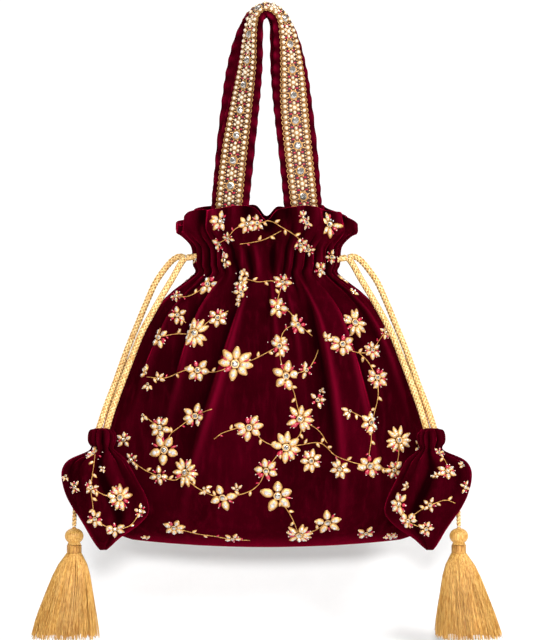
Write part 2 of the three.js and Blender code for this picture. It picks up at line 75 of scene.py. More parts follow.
# %% Mesh helpers
def new_mesh(name, points, faces, finish=None, smooth=True):
    mesh = bpy.data.meshes.new(name)
    faces = np.asarray(faces, dtype=np.int32)
    mesh.vertices.add(len(points))
    mesh.vertices.foreach_set("co", np.asarray(points, dtype=np.float32).ravel())
    mesh.loops.add(faces.size)
    mesh.loops.foreach_set("vertex_index", faces.ravel())
    mesh.polygons.add(len(faces))
    mesh.polygons.foreach_set("loop_start", np.arange(len(faces), dtype=np.int32) * faces.shape[1])
    mesh.polygons.foreach_set("use_smooth", np.full(len(faces), smooth))
    mesh.update(calc_edges=True)
    mesh.validate()
    piece = bpy.data.objects.new(name, mesh)
    bpy.context.scene.collection.objects.link(piece)
    if finish:
        mesh.materials.append(finish)
    return piece


def paint(piece, name, values):
    """Writes one value on each of a mesh's points, for its finish to read. Points left over get zero."""
    full = np.zeros(len(piece.data.vertices), np.float32)
    full[:values.size] = values.ravel()
    piece.data.attributes.new(name, "FLOAT", "POINT").data.foreach_set("value", full)


def grid_faces(rows, columns, closed=True):
    across = np.arange(columns if closed else columns - 1)
    down = np.arange(rows - 1)[:, None]
    first = down * columns + across
    second = down * columns + (across + 1) % columns
    return np.stack([first, second, second + columns, first + columns], -1).reshape(-1, 4)


def triangles(quads):
    return np.vstack([quads[:, [0, 1, 2]], quads[:, [0, 2, 3]]])


def tube_mesh(name, rings, finish, ends=(True, True)):
    """A tube through rings of points, shaped (rings, points, 3), with its ends closed by fans where asked."""
    rows, columns, _ = rings.shape
    points = rings.reshape(-1, 3)
    faces = [triangles(grid_faces(rows, columns))]
    for closed, row, order in ((ends[0], 0, 1), (ends[1], rows - 1, -1)):
        if closed:
            ring = row * columns + np.arange(columns)
            pair = [np.roll(ring, -1), ring][::order]
            faces.append(np.stack([*pair, np.full(columns, len(points))], 1))
            points = np.vstack([points, rings[row].mean(0)])
    return new_mesh(name, points, np.vstack(faces), finish)


print("mesh helpers ready")

# %% [markdown]
# Sizes that change along a piece, such as the bag's width at each height, are written here as short tables,
# with a smooth curve through their rows. A few small functions give soft steps, bumps and circles, so that a
# fold or a pleat can be written as a sum of them. They could be edit points of Bezier curves, but a table is
# easier to read and to change.

# %% Curves and turns
def curve_through(rows):
    """A smooth curve through rows of [position, value, value, ...]. It takes one position or an array."""
    table = np.array(rows, dtype=float)
    at, values = table[:, 0], table[:, 1:]
    near = np.clip(np.arange(len(at))[:, None] + [-1, 1], 0, len(at) - 1)
    slopes = (values[near[:, 1]] - values[near[:, 0]]) / (at[near[:, 1]] - at[near[:, 0]])[:, None]

    def read(position):
        p = np.clip(np.atleast_1d(position), at[0], at[-1])
        i = np.clip(np.searchsorted(at, p, side="right") - 1, 0, len(at) - 2)
        span = (at[i + 1] - at[i])[:, None]
        t = (p - at[i])[:, None] / span
        return ((1 + 2 * t) * (1 - t) ** 2 * values[i] + t * (1 - t) ** 2 * span * slopes[i]
                + t * t * (3 - 2 * t) * values[i + 1] + t * t * (t - 1) * span * slopes[i + 1])

    return read


def smoothstep(t):
    t = np.clip(t, 0, 1)
    return t * t * (3 - 2 * t)


def bell(t):
    return np.exp(-t * t)


def circle(count):
    """Angles spaced evenly round a circle."""
    return np.linspace(0, TURN, count, endpoint=False)


def half_turned(points):
    """The same points on the bag's other face: turned half round the upright axis."""
    return points * [-1, -1, 1]


def half_turned_places(places):
    """The same for places of small parts: four vectors each, then sizes."""
    return [tuple(half_turned(np.array(v)) for v in p[:4]) + tuple(p[4:]) for p in places]


print("soft step at a quarter:", smoothstep(0.25), "bell one width away:", round(bell(1.0), 3))

# %% [markdown]
# A small class makes shader maths read like arithmetic. Each value wraps an output socket, the operators add
# Math nodes, and every other node comes from one method that sets a node up and plugs its inputs. It could
# be done by hand in the node editor, but a page of links says less than one line of arithmetic.

# %% Shader helpers
class Value:
    """An output socket that takes part in arithmetic."""

    def __init__(self, nodes, socket):
        self.nodes, self.socket = nodes, socket

    def maths(self, operation, a, b):
        return self.nodes.node("ShaderNodeMath", {"operation": operation}, {0: a, 1: b})

    def __add__(self, other):
        return self.maths("ADD", self, other)

    def __sub__(self, other):
        return self.maths("SUBTRACT", self, other)

    def __rsub__(self, other):
        return self.maths("SUBTRACT", other, self)

    def __mul__(self, other):
        return self.maths("MULTIPLY", self, other)

    __radd__ = __add__
    __rmul__ = __mul__


class Nodes:
    """A node tree, of a material or of the world."""

    def __init__(self, tree):
        self.tree = tree

    def node(self, kind, settings=None, inputs=None, output=0):
        made = self.tree.nodes.new(kind)
        for name, setting in (settings or {}).items():
            setattr(made, name, setting)
        for socket, value in (inputs or {}).items():
            if isinstance(value, Value):
                self.tree.links.new(value.socket, made.inputs[socket])
            else:
                made.inputs[socket].default_value = value
        return Value(self, made.outputs[output])

    def show(self, shader, output):
        self.tree.links.new(shader.socket, self.tree.nodes[output].inputs["Surface"])


print("socket arithmetic ready")

# %% [markdown]
# Every finish here is one Principled shader. A fixed value is set straight on its socket. What changes over
# the surface, such as noise, or a fold painted on the points of a mesh, is fed in by a link.

# %% Finish helpers
class Finish(Nodes):
    """One material: a Principled shader whose fixed values are set straight on its sockets."""

    def __init__(self, name, **fixed):
        self.material = bpy.data.materials.new(name)
        self.material.use_nodes = True
        super().__init__(self.material.node_tree)
        self.shader = self.tree.nodes["Principled BSDF"]
        for socket, value in fixed.items():
            self.shader.inputs[socket.replace("_", " ")].default_value = value
        self.places = self.node("ShaderNodeTexCoord", output="Object")

    def noise(self, scale, detail=2.0, roughness=0.5, places=None):
        inputs = {"Vector": places or self.places, "Scale": scale, "Detail": detail, "Roughness": roughness}
        return self.node("ShaderNodeTexNoise", inputs=inputs)

    def mix(self, share, first, second):
        return self.node("ShaderNodeMix", {"data_type": "RGBA"}, {0: share, 6: first, 7: second}, 2)

    def painted(self, name):
        """A value written on the mesh's points; it is zero where a mesh has none."""
        return self.node("ShaderNodeAttribute", {"attribute_name": name}, output="Fac")

    def band(self, value, low, high):
        """0 below low, 1 above high and smooth between."""
        inputs = {0: value, 1: low, 2: high, 3: 0.0, 4: 1.0}
        return self.node("ShaderNodeMapRange", {"interpolation_type": "SMOOTHSTEP"}, inputs)

    def stretched(self, scale):
        return self.node("ShaderNodeVectorMath", {"operation": "MULTIPLY"}, {0: self.places, 1: scale})

    def feed(self, **links):
        for socket, value in links.items():
            self.tree.links.new(value.socket, self.shader.inputs[socket.replace("_", " ")])
        return self.material

    def bump(self, height, strength, distance):
        inputs = {"Height": height, "Strength": strength, "Distance": distance}
        return self.node("ShaderNodeBump", inputs=inputs)


def colour(red, green, blue):
    """A colour given as it looks on screen, 0 to 255, for a socket that wants light."""
    linear = [((c / 255 + 0.055) / 1.055) ** 2.4 if c > 10 else c / 255 / 12.92 for c in (red, green, blue)]
    return (*linear, 1.0)


print("dark velvet as light:", [round(c, 4) for c in colour(38, 0, 5)[:3]])

# %% [markdown]
# Velvet is a pile of short upright fibres. It looks dark where you look straight into the pile and light
# where the surface turns away, so a sheen lobe carries the light edge, and slow noise in the colour stands
# for the places where a hand has brushed the pile one way or the other. The shade down in each fold and the
# highlight along the edge that lies over it are painted into the colour: the mesh knows where its folds are,
# so it carries two painted values, one of shade and one of highlight, that the finish reads. They could
# also come from the shape by a pointiness node, but that one depends on how fine the mesh is.

# %% Velvet
def velvet_finish(name):
    velvet = Finish(name, Sheen_Weight=0.6, Sheen_Roughness=0.32, Sheen_Tint=colour(216, 12, 66),
                    Specular_IOR_Level=0.0)
    painted_shade, painted_highlight = velvet.painted("painted_shade"), velvet.painted("painted_highlight")
    brushed = velvet.band(velvet.noise(24, 3.0, 0.6), 0.35, 0.7)
    pile = velvet.noise(1700, 2.0, 0.6)
    streaks = velvet.noise(1.0, 3.0, 0.6, velvet.stretched((230, 230, 45)))
    shade = velvet.mix(brushed, colour(38, 0, 5), colour(52, 0, 9))
    shade = velvet.mix(velvet.band(streaks, 0.45, 0.8) * 0.35, shade, colour(84, 2, 22))
    shade = velvet.mix(velvet.band(pile, 0.5, 0.8) * 0.25, shade, colour(24, 0, 4))
    # painted highlight: light red on the ridges and on the edge that lies over each fold
    shade = velvet.mix(painted_highlight * 0.6, shade, colour(116, 6, 34))
    # painted shade: near-black down in the folds
    shade = velvet.mix(painted_shade, shade, colour(9, 0, 1))
    rough = velvet.noise(60) * 0.15 + 0.75
    return velvet.feed(Base_Color=shade, Roughness=rough, Normal=velvet.bump(pile, 0.3, 0.0005))


velvet = velvet_finish("velvet")
print("velvet made")

# %% [markdown]
# Satin lines the bag. It is smooth and shines along its weave, so its roughness is low and its bump faint.
# Thread is gold or silk: long strands with light between them, and painted shade darkens its grooves.
# Beads and stones share one finish that changes only in colour, roughness, metal and coat.

# %% Satin, gold, pearl and stone
def satin_finish():
    satin = Finish("lining_satin", Specular_IOR_Level=0.5, Anisotropic=0.5)
    weave = satin.noise(1.0, 1.0, 0.4, satin.stretched((3000, 3000, 260)))
    slack = satin.noise(35, 2.0)
    shade = satin.mix(slack, colour(96, 8, 42), colour(132, 20, 62))
    rough = satin.noise(90) * 0.12 + 0.3
    return satin.feed(Base_Color=shade, Roughness=rough, Normal=satin.bump(weave, 0.2, 0.0002))


def thread_finish(name, dark, light, metal, rough=0.42, grain=900, along=(1, 1, 0.25), deep=(96, 56, 16)):
    thread = Finish(name, Specular_IOR_Level=0.5, Metallic=metal)
    strands = thread.noise(1.0, 2.0, 0.6, thread.stretched(tuple(grain * a for a in along)))
    tone = thread.noise(140, 2.0)
    shade = thread.mix(thread.band(strands, 0.3, 0.7), dark, light)
    shade = thread.mix(thread.band(tone, 0.45, 0.75) * 0.35, shade, dark)
    # painted shade: the grooves are darkened towards the colour deep
    shade = thread.mix(thread.painted("painted_shade"), shade, colour(*deep))
    worn = thread.noise(400) * 0.2 + rough
    return thread.feed(Base_Color=shade, Roughness=worn, Normal=thread.bump(strands, 0.45, 0.0003))


def bead_finish(name, dark, light, rough, metal=0.0, coat=0.0, grain=700):
    bead = Finish(name, Metallic=metal, Coat_Weight=coat, Coat_Roughness=0.08)
    shade = bead.mix(bead.noise(grain, 2.0), dark, light)
    worn = bead.noise(grain * 2) * 0.15 + rough
    return bead.feed(Base_Color=shade, Roughness=worn)


satin = satin_finish()
gold_thread = thread_finish("gold_thread", colour(150, 98, 38), colour(222, 172, 92), 0.3)
red_ground = thread_finish("red_ground", colour(26, 0, 4), colour(66, 3, 12), 0.0, 0.6, 1200)
# deep is the colour of the painted shade in the cord's grooves
gold_cord = thread_finish("gold_cord", colour(206, 152, 78), colour(255, 226, 160), 0.12, deep=(136, 88, 36))
silk = thread_finish("tassel_silk", colour(176, 118, 40), colour(230, 186, 104), 0.1, 0.34, 1400,
                     along=(1, 1, 0.04))
petal_gold = bead_finish("petal_gold", colour(206, 154, 90), colour(246, 208, 146), 0.3, 0.3)
rim_gold = bead_finish("rim_gold", colour(142, 92, 42), colour(206, 156, 86), 0.3, 0.45)
pearl = bead_finish("pearl", colour(190, 170, 140), colour(236, 224, 204), 0.16, 0.0, 0.6)
crystal = bead_finish("crystal", colour(120, 116, 114), colour(250, 248, 244), 0.06, 0.25, 1.0, 1600)
cut_crystal = bead_finish("cut_crystal", colour(92, 86, 82), colour(236, 230, 222), 0.04, 0.8, 1.0, 900)
ruby = bead_finish("ruby", colour(120, 4, 30), colour(200, 26, 62), 0.14, 0.0, 0.8)
print("finishes:", len(bpy.data.materials))

# %% [markdown]
# The cords come first among the pieces, because they hang clear of the bag and decide how wide it is. Their
# routes are those of the solid model's cords. Each is a short list of points with a smooth curve through
# them, walked in equal steps, so that a pattern keeps its pitch all the way along.

# %% Routes
CORD = 4.4
EXIT_X = 57
NECK_Z = -165
OUTER_ROUTE = [(-57, 4, -165), (-61.5, 4.4, -164.4), (-66.5, 4.2, -167.5), (-72, 3, -174), (-78, 2, -183),
               (-83.4, 0, -195), (-90, -3, -211), (-98, -9, -231), (-105, -17, -251), (-111.4, -26, -268),
               (-116.4, -36, -284)]
INNER_ROUTE = [(-57, -4, -165), (-60.5, -5.6, -170), (-65.5, -9.5, -179), (-71.5, -13.2, -189),
               (-78.5, -15.4, -201), (-87, -17.4, -217), (-94.6, -18.4, -236), (-100.6, -22, -252),
               (-106.6, -28.4, -269), (-111.2, -36, -284.85)]


def smooth_route(points, step):
    """Points a fixed step apart along a smooth curve through the given ones."""
    points = np.array(points, dtype=float)
    before = np.vstack([2 * points[:1] - points[1:2], points, 2 * points[-1:] - points[-2:-1]])
    t = np.linspace(0, 1, 24, endpoint=False)[:, None]
    spans = [0.5 * (2 * b + (c - a) * t + (2 * a - 5 * b + 4 * c - d) * t ** 2
                    + (3 * b - a - 3 * c + d) * t ** 3)
             for a, b, c, d in zip(before, before[1:], before[2:], before[3:])]
    dense = np.vstack([*spans, points[-1:]])
    travelled = np.concatenate([[0], np.cumsum(np.linalg.norm(np.diff(dense, axis=0), axis=1))])
    even = np.linspace(0, travelled[-1], max(2, int(round(travelled[-1] / step)) + 1))
    return np.stack([np.interp(even, travelled, dense[:, k]) for k in range(3)], 1)


def frames_along(route):
    """Two directions square to the route at each point, carried along without twisting."""
    along = np.gradient(route, axis=0)
    along /= np.linalg.norm(along, axis=1)[:, None]
    across = np.empty_like(along)
    start = np.cross(along[0], [0, 0, 1.0])
    if np.linalg.norm(start) < 0.1:
        start = np.cross(along[0], [0, 1.0, 0])
    across[0] = start / np.linalg.norm(start)
    for i in range(1, len(along)):
        kept = across[i - 1] - along[i] * np.dot(across[i - 1], along[i])
        across[i] = kept / np.linalg.norm(kept)
    return across, np.cross(along, across)


def rings_round(route, radius, angle):
    """Rings of points round a route, for a tube whose radius changes."""
    across, up = frames_along(route)
    return route[:, None] + radius[..., None] * (
        np.cos(angle)[..., None] * across[:, None] + np.sin(angle)[..., None] * up[:, None])


print("route points:", len(OUTER_ROUTE), "and", len(INNER_ROUTE))

# %% [markdown]
# The real cords are braids of silk, not quite four and a half millimetres thick. A braid is two families of
# strands that wind opposite ways, so the tube's radius follows whichever strand is on top at that place, and
# the grooves between the strands get painted shade. A picture of a braid on a plain tube would be flat at its
# edge.

# %% Braid
def braided(name, route, diameter, finish, around=24, step=0.4, strands=4, pitch=11.0):
    """A braided tube along a route, in millimetres."""
    centre = smooth_route(route, step)
    distance = np.arange(len(centre))[:, None] * step
    angle = circle(around)[None, :]
    winding = TURN * strands * distance / pitch
    right = np.abs(np.cos(0.5 * (strands * angle + winding))) ** 0.8
    left = np.abs(np.cos(0.5 * (strands * angle - winding))) ** 0.8
    strand = np.maximum(right, left)
    radius = diameter / 2 * (0.6 + 0.44 * strand)
    ends = np.minimum(distance, distance[::-1])
    radius = radius * np.sqrt(smoothstep(ends / (0.2 * diameter) + 0.6))
    piece = tube_mesh(name, rings_round(centre, radius, angle) * MM, finish)
    # painted shade in the grooves between the strands
    paint(piece, "painted_shade", 0.8 * smoothstep((0.92 - strand) / 0.22))
    return piece


print("braid ready")

# %% [markdown]
# Each side's two cords are the ends of one drawstring: they leave the neck together and run down the bag's
# side into the small pouch. The solid frame has one pair, mirrored for the other side, and so does this.

# %% Free cords
SIDES = {"left": 1, "right": -1}


def mirrored(points, side):
    return np.array(points, dtype=float) * [side, 1, 1]


def mirrored_rings(rings, side):
    """The same for rings of points, which keep their direction so that the faces still look outward."""
    rings = mirrored(rings, side)
    return rings if side > 0 else rings[:, ::-1]


for side_name, side in SIDES.items():
    for run, route in (("outer", OUTER_ROUTE), ("inner", INNER_ROUTE)):
        path = mirrored(route, side)
        piece = braided(f"braid_{side_name}_{run}", path, CORD, gold_cord)
        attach(piece, f"cords_{side_name}")
        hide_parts(f"cord_{side_name}_{run}")
        centre = smooth_route(path, 3.0) * MM

# %% [markdown]
# The bag itself is two panels of velvet sewn round the sides and bottom, and drawn in at the neck. Its
# section at every height is a rounded oval, wide at the bottom and much smaller at the neck. The table gives
# half its width and half its depth at each height, in the sizes of the solid model. A cube could be pulled
# into this form with a Subdivision Surface, but its folds would then have nothing to be measured from.

# %% The bag's outline
RIM_Z, BOTTOM_Z = -130, -368
BAG_W, BAG_D, NECK_W, NECK_D, FRILL_W, FRILL_D = 242, 88, 103, 50, 127, 60
VELVET, SECTION_POWER, TIP_DROP = 2.4, 2.2, 13
half_sizes = curve_through([
    [BOTTOM_Z, 0.39 * BAG_W, 0.04 * BAG_D], [BOTTOM_Z + 3, 0.425 * BAG_W, 0.15 * BAG_D],
    [BOTTOM_Z + 10, 0.462 * BAG_W, 0.29 * BAG_D], [BOTTOM_Z + 24, 0.492 * BAG_W, 0.41 * BAG_D],
    [BOTTOM_Z + 48, 0.5 * BAG_W, 0.485 * BAG_D], [BOTTOM_Z + 80, 0.477 * BAG_W, 0.5 * BAG_D],
    [BOTTOM_Z + 113, 0.432 * BAG_W, 0.485 * BAG_D], [BOTTOM_Z + 142, 0.383 * BAG_W, 0.45 * BAG_D],
    [BOTTOM_Z + 165, 0.33 * BAG_W, 0.4 * BAG_D], [NECK_Z - 24, 0.5 * NECK_W + 15, 0.5 * NECK_D + 5],
    [NECK_Z - 17, 0.5 * NECK_W + 6, 0.5 * NECK_D + 2], [NECK_Z - 10, 0.5 * NECK_W - 1.5, 0.5 * NECK_D],
    [NECK_Z - 5, 0.5 * NECK_W + 0.2, 0.5 * NECK_D], [NECK_Z, 0.5 * NECK_W + 0.5, 0.5 * NECK_D],
    [NECK_Z + 8, 0.5 * NECK_W + 1.5, 0.5 * NECK_D], [NECK_Z + 15, 0.5 * FRILL_W - 4.5, 0.5 * FRILL_D - 2],
    [RIM_Z - TIP_DROP, 0.5 * FRILL_W - 0.5, 0.5 * FRILL_D], [RIM_Z, 0.5 * FRILL_W - 1, 0.5 * FRILL_D + 1]])
print("half width and depth at the neck:", half_sizes(NECK_Z)[0].round(1), "mm")

# %% [markdown]
# The long folds are overlaps: the cloth sinks slowly towards a line, and a flat panel lies over it from the
# other side. They start in the gathers and die away where the bag fills out. Cloth simulation could find
# such folds by itself, but not those of this bag, so each is set one by one. Front and back are the same
# cloth turned half round, so each fold is set on both.

# %% Long folds
# Each long fold: place across the front from -1 to 1, depth, width (negative where the cloth lies over from
# the left), height where it is deepest, reach downward, and how far it leans on its way down
FOLDS = [(-0.86, 4.5, 0.10, -200, 50, 0), (-0.6, 6, 0.075, -205, 58, -0.04),
         (-0.19, 8, 0.07, -218, 82, -0.19), (0.03, 3.5, 0.055, -195, 50, 0.03),
         (0.2, 3, 0.055, -200, 50, 0.02), (0.42, 8.5, 0.065, -214, 90, -0.01),
         (0.64, 6.5, -0.07, -222, 70, 0.02), (0.87, 4.5, 0.09, -205, 48, 0)]


def wrapped(angle):
    return (angle + math.pi) % TURN - math.pi


def place_angle(place):
    """The angle round the section of a place across the front."""
    return -math.pi / 2 + math.asin(np.sign(place) * abs(place) ** (SECTION_POWER / 2))


def each_face(angle, list_of_folds):
    for place, *rest in list_of_folds:
        for turned in (0, math.pi):
            yield wrapped(angle - place_angle(place) - turned), rest


def long_folds(angle, z):
    """For each long fold, how strong it is at a height and how many of its widths away the cloth is."""
    for away, (depth, width, deepest, reach, lean) in each_face(angle, FOLDS):
        below = np.where(z < deepest, (z - deepest) / reach, (z - deepest) / 26)
        spread = width * (1 + 0.012 * np.clip(NECK_Z - z, 0, 90))
        strength = depth * bell(below) * smoothstep((NECK_Z - 4 - z) / 16)
        yield strength, (away - lean * (NECK_Z - z) / 100) / spread


def soft_folds(angle, z):
    """A long fold is an overlap: cloth sinks slowly towards a line, then a flat panel lies over it."""
    total = np.zeros(np.broadcast(angle, z).shape)
    for strength, side in long_folds(angle, z):
        over = smoothstep((side + 0.25) / 0.5)
        lying, sinking = 0.5 * np.exp(-np.maximum(side, 0) / 2.4), np.exp(np.minimum(side, 0) / 1.3)
        total += strength * (over * lying - (1 - over) * sinking)
    return total


def fold_shade_and_highlight(angle, z):
    """Where shade is painted beside the long folds, and a painted highlight along the edge that lies over."""
    dark, light = np.zeros((2, *np.broadcast(angle, z).shape))
    for strength, side in long_folds(angle, z):
        share = np.minimum(strength / 6, 1)
        uncovered = 1 - smoothstep((side + 0.1) / 0.3)
        # painted shade on the side that is left uncovered
        dark = np.maximum(dark, share * np.exp(np.minimum(side, 0) / 1.1) * uncovered)
        # painted highlight along the edge that lies over
        light = np.maximum(light, 0.8 * share * bell((side - 0.26) / 0.2))
    return dark, light


print("long folds on each face:", len(FOLDS))

# %% [markdown]
# At the neck the drawstrings pull the cloth into small pleats of uneven width. Above them it opens into the
# frill, whose waves are wider and stand free. The filled part has only faint wrinkles. Each of these is a
# function of the angle round the bag and the height, and the surface adds them to the rounded oval, so the
# lining and the casing can be set inside the same surface.

# %% Frill, gathers and surface
FRILL_FOLDS = [(-0.96, 4, 0.15), (-0.72, 6.5, 0.11), (-0.47, 3.5, 0.08), (-0.22, 5.5, 0.09),
               (0.24, 4.5, 0.08), (0.45, 4, 0.08), (0.68, 6.5, 0.10), (0.9, 5, 0.13)]
FRILL_FOOT = NECK_Z + 10


def frill_folds(angle, z):
    """Waves of the frill, which open from its foot up, and the dip at each side seam."""
    up = smoothstep((z - FRILL_FOOT) / (RIM_Z - FRILL_FOOT))
    total = -9 * bell(np.cos(angle) / 0.09) * np.ones_like(z * angle)
    for away, (depth, width) in each_face(angle, FRILL_FOLDS):
        total += depth * (0.7 * bell((away - 1.5 * width) / width) - bell(away / width))
    return up * total


def gathers(angle, z):
    """Soft pleats of uneven width where the drawstrings pull the cloth in."""
    warped = angle + 0.05 * np.sin(6 * angle + 1) + 0.02 * np.sin(14 * angle)
    pleat = np.abs(np.cos(17 * (warped - 0.003 * (z - NECK_Z) * np.sin(4 * angle)))) ** 1.3
    wander = 2 * np.sin(6 * angle) + 0.9 * np.sin(0.21 * (z - NECK_Z) + 8 * angle)
    fine = 0.6 * np.cos(68 * angle + wander)
    reach = np.where(z < NECK_Z, 19 + 8 * np.cos(10 * angle), 16 + 5 * np.cos(6 * angle + 1))
    return 3.6 * bell((z - NECK_Z) / reach) * (pleat - 1) + 0.6 * bell((z - NECK_Z) / 11) * fine


def creases(angle, z):
    """Faint wrinkles that give the filled part of the bag some life."""
    wave = np.sin(10 * angle + 0.05 * z + 1.5 * np.sin(0.031 * z + 2 * angle)) * np.sin(4 * angle - 0.043 * z)
    return 0.8 * wave * smoothstep((z - BOTTOM_Z - 20) / 40) * smoothstep((NECK_Z - 20 - z) / 30)


def bag_point(angle, z, inset=0.0, detail=True):
    """Points of the velvet: angles and heights are arrays that go together."""
    angle, z, inset = np.broadcast_arrays(np.asarray(angle, float), np.asarray(z, float), inset)
    shape = z.shape
    sizes = half_sizes(z.ravel())
    a, b = sizes[:, 0].reshape(shape), sizes[:, 1].reshape(shape)
    c, s = np.cos(angle), np.sin(angle)
    x = a * np.sign(c) * np.abs(c) ** (2 / SECTION_POWER)
    y = b * np.sign(s) * np.abs(s) ** (2 / SECTION_POWER)
    out = np.stack([c / a, s / b], -1)
    out /= np.linalg.norm(out, axis=-1)[..., None]
    shift = soft_folds(angle, z) + frill_folds(angle, z) - inset
    if detail:
        shift = shift + gathers(angle, z) + creases(angle, z)
    corner = 5 * (x / a) ** 2 * bell((z - BOTTOM_Z) / 40)
    return np.stack([x + out[..., 0] * shift, y + out[..., 1] * shift, z + corner], -1)


def rim_drop(angle):
    """How far the rim hangs down: at the sides, and in the notch in the middle."""
    return TIP_DROP * np.cos(angle) ** 6 + 8 * bell(np.cos(angle) / 0.065) + 1.2 * np.cos(9 * angle + 1)


print("the rim hangs down at a side by", round(float(rim_drop(0.0)), 1), "mm")

# %% [markdown]
# The cloth is one grid that climbs the outside, rolls over the rim and goes down inside to the lining's
# edge, so the frill has a real thickness and a soft turned edge. A Solidify modifier would give both faces
# the same folds, while real cloth of two layers doesn't follow the gathers on its inside.

# %% Velvet bag
def paint_fold_shade_and_highlight(piece, relief, deepest, dark=0.0, light=0.0):
    """Paints shade on the velvet where it lies down in a fold, and a highlight on each ridge."""
    paint(piece, "painted_shade", np.maximum(0.9 * smoothstep(-relief / deepest), 0.92 * dark))
    paint(piece, "painted_highlight", np.maximum(0.7 * smoothstep(relief / deepest), light))


def over_the_rim(rows):
    """Values of the outside, continued over the rim and down inside with those of the rim."""
    return np.vstack([rows, np.tile(rows[-1:], (1 + len(fall), 1))])


angles = circle(480)[None, :]
climb = np.concatenate([[BOTTOM_Z, BOTTOM_Z + 1.2, BOTTOM_Z + 3], np.arange(BOTTOM_Z + 6, NECK_Z - 40, 2.2),
                        np.arange(NECK_Z - 40, RIM_Z - 9, 1.3), np.linspace(RIM_Z - 9, RIM_Z, 7)])[:, None]
outside = bag_point(angles, climb)
fall = np.concatenate([np.linspace(RIM_Z, RIM_Z - 9, 5), np.arange(RIM_Z - 11, NECK_Z + 7, -2.0)])[:, None]
inside = bag_point(angles, fall, VELVET + 1.5 * smoothstep((RIM_Z - fall) / 20), detail=False)
for block, heights in ((outside, climb), (inside, fall)):
    lift = smoothstep((heights - NECK_Z - 12) / (RIM_Z - NECK_Z - 12))
    block[..., 2] -= rim_drop(angles) * lift
roll = [0.5 * (outside[-1] + inside[0]) + [0, 0, 0.9]]
skin = np.vstack([outside, roll, inside])
bag = tube_mesh("velvet_bag", skin * MM, velvet, ends=(True, False))
# Painted shade and highlight follow this relief: the gathers count 2.3 times, and the band at the neck is
# painted light.
relief = frill_folds(angles, climb) + 2.3 * gathers(angles, climb) + 2.2 * bell((climb - NECK_Z) / 16)
dark, light = fold_shade_and_highlight(angles, climb)
paint_fold_shade_and_highlight(bag, over_the_rim(relief), 5.0, over_the_rim(dark), over_the_rim(light))
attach(bag, "bag")
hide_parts("bag_shell")
print("velvet bag:", len(bag.data.polygons), "faces")

# %% [markdown]
# The satin lining hangs just inside. Only its upper edge can be seen through the neck, but it goes all the
# way down, as a sewn lining does, and it hides the drawstrings in their casing. It is made from the bag's
# own surface, set inward by the velvet, the casing and the deepest fold, so that it can't come through.

# %% Lining and drawstrings
satin_angles = circle(96)[None, :]
drop = np.concatenate([np.linspace(NECK_Z + 10.5, NECK_Z + 6, 4),
                       np.arange(NECK_Z + 3, BOTTOM_Z + 12, -6)])[:, None]
casing = 6.2 * smoothstep((11 - np.abs(drop - NECK_Z)) / 5)
valley = -soft_folds(angles, drop).min(axis=1, keepdims=True)
depth = VELVET + 2.4 * bell((drop - NECK_Z) / 14) + valley + casing
sack = bag_point(satin_angles, drop, depth + 0.6 + soft_folds(satin_angles, drop), detail=False)
slack = 0.5 * np.sin(17 * satin_angles + 0.04 * drop) * smoothstep((NECK_Z - drop) / 20)
sack[..., :2] *= (1 - 0.006 * (1 + slack))[..., None]
lining_piece = tube_mesh("satin_lining", sack[::-1] * MM, satin, ends=(True, False))
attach(lining_piece, "bag")
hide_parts("lining")

ring_angles = math.pi + TURN * (np.arange(23) + 1.5) / 25
ring = bag_point(ring_angles, NECK_Z, VELVET + 2.2 + 0.9 + CORD / 2, detail=False)
ring[:, 2] = NECK_Z + CORD / 2 + 0.3
END = EXIT_X - 0.8
front_exit = [(-END, -4, NECK_Z), (4 - END, -4, NECK_Z + 0.12 * CORD)]
back_exit = [(x, -y, z) for x, y, z in front_exit[::-1]]
route = np.vstack([front_exit, ring, back_exit])
for side_name, turn in (("left", (1, 1, 1)), ("right", (-1, 1, -1))):
    path = (route - [0, 0, NECK_Z]) * turn + [0, 0, NECK_Z]
    piece = braided(f"drawstring_braid_{side_name}", path, CORD, gold_cord, around=16, step=0.8)
    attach(piece, "bag")
    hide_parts(f"drawstring_{side_name}")
print("lining and drawstrings made,", len(ring_angles), "points round the casing")

# %% [markdown]
# Each handle is a padded velvet strap that turns over at the top, so its jewelled face looks forward on the
# way up, tips over where it hangs, and looks forward again on the way down. It is swept along one line that
# knows its place, its twist and how far the cloth is pinched together. The back handle is the front one
# turned round.

# %% Handle line
STRAP_W, STRAP_T = 27, 3.4
FOOT_X, FOOT_Z = -26.5, FRILL_FOOT + 0.9
foot_depth = VELVET + 2.2 * bell((FOOT_Z - NECK_Z) / 13) + 0.3 + STRAP_T / 2
FOOT_Y = bag_point(-math.pi / 2 - 0.52, FOOT_Z, foot_depth, detail=False)[1] + 2.9
strap_line = curve_through([
    [0, FOOT_X, FOOT_Y, FOOT_Z, -24, 0.94], [0.06, -25.8, FOOT_Y - 0.6, -134, -18, 1],
    [0.2, -21.4, -15, -92, -22, 1], [0.29, -16.2, -13.6, -61, -37, 1], [0.385, -11.2, -12.4, -30, -50, 0.96],
    [0.445, -9.2, -11.4, -9, -57, 0.86], [0.48, -6.6, -10.6, 3, -61, 0.74], [0.505, 0, -10.2, 7.5, -63, 0.68],
    [0.53, 8.4, -10.4, 2.8, -58, 0.74], [0.57, 13, -11.2, -10, -46, 0.86], [0.63, 16, -12, -30, -32, 0.95],
    [0.72, 18.8, -13, -61, -10, 1], [0.8, 22, -15, -92, -5, 1], [0.94, 25.8, FOOT_Y - 0.6, -134, -18, 1],
    [1, -FOOT_X, FOOT_Y, FOOT_Z, -24, 0.94]])


def strap_frames(shares):
    values = strap_line(shares)
    after, before = strap_line(np.minimum(shares + 0.004, 1)), strap_line(np.maximum(shares - 0.004, 0))
    along = after[:, :3] - before[:, :3]
    along /= np.linalg.norm(along, axis=1)[:, None]
    flat = np.cross([0, 1.0, 0], along)
    flat /= np.linalg.norm(flat, axis=1)[:, None]
    twist = np.radians(values[:, 3])[:, None]
    across = flat * np.cos(twist) + np.cross(along, flat) * np.sin(twist)
    return values[:, :3], along, across, np.cross(across, along), values[:, 4]


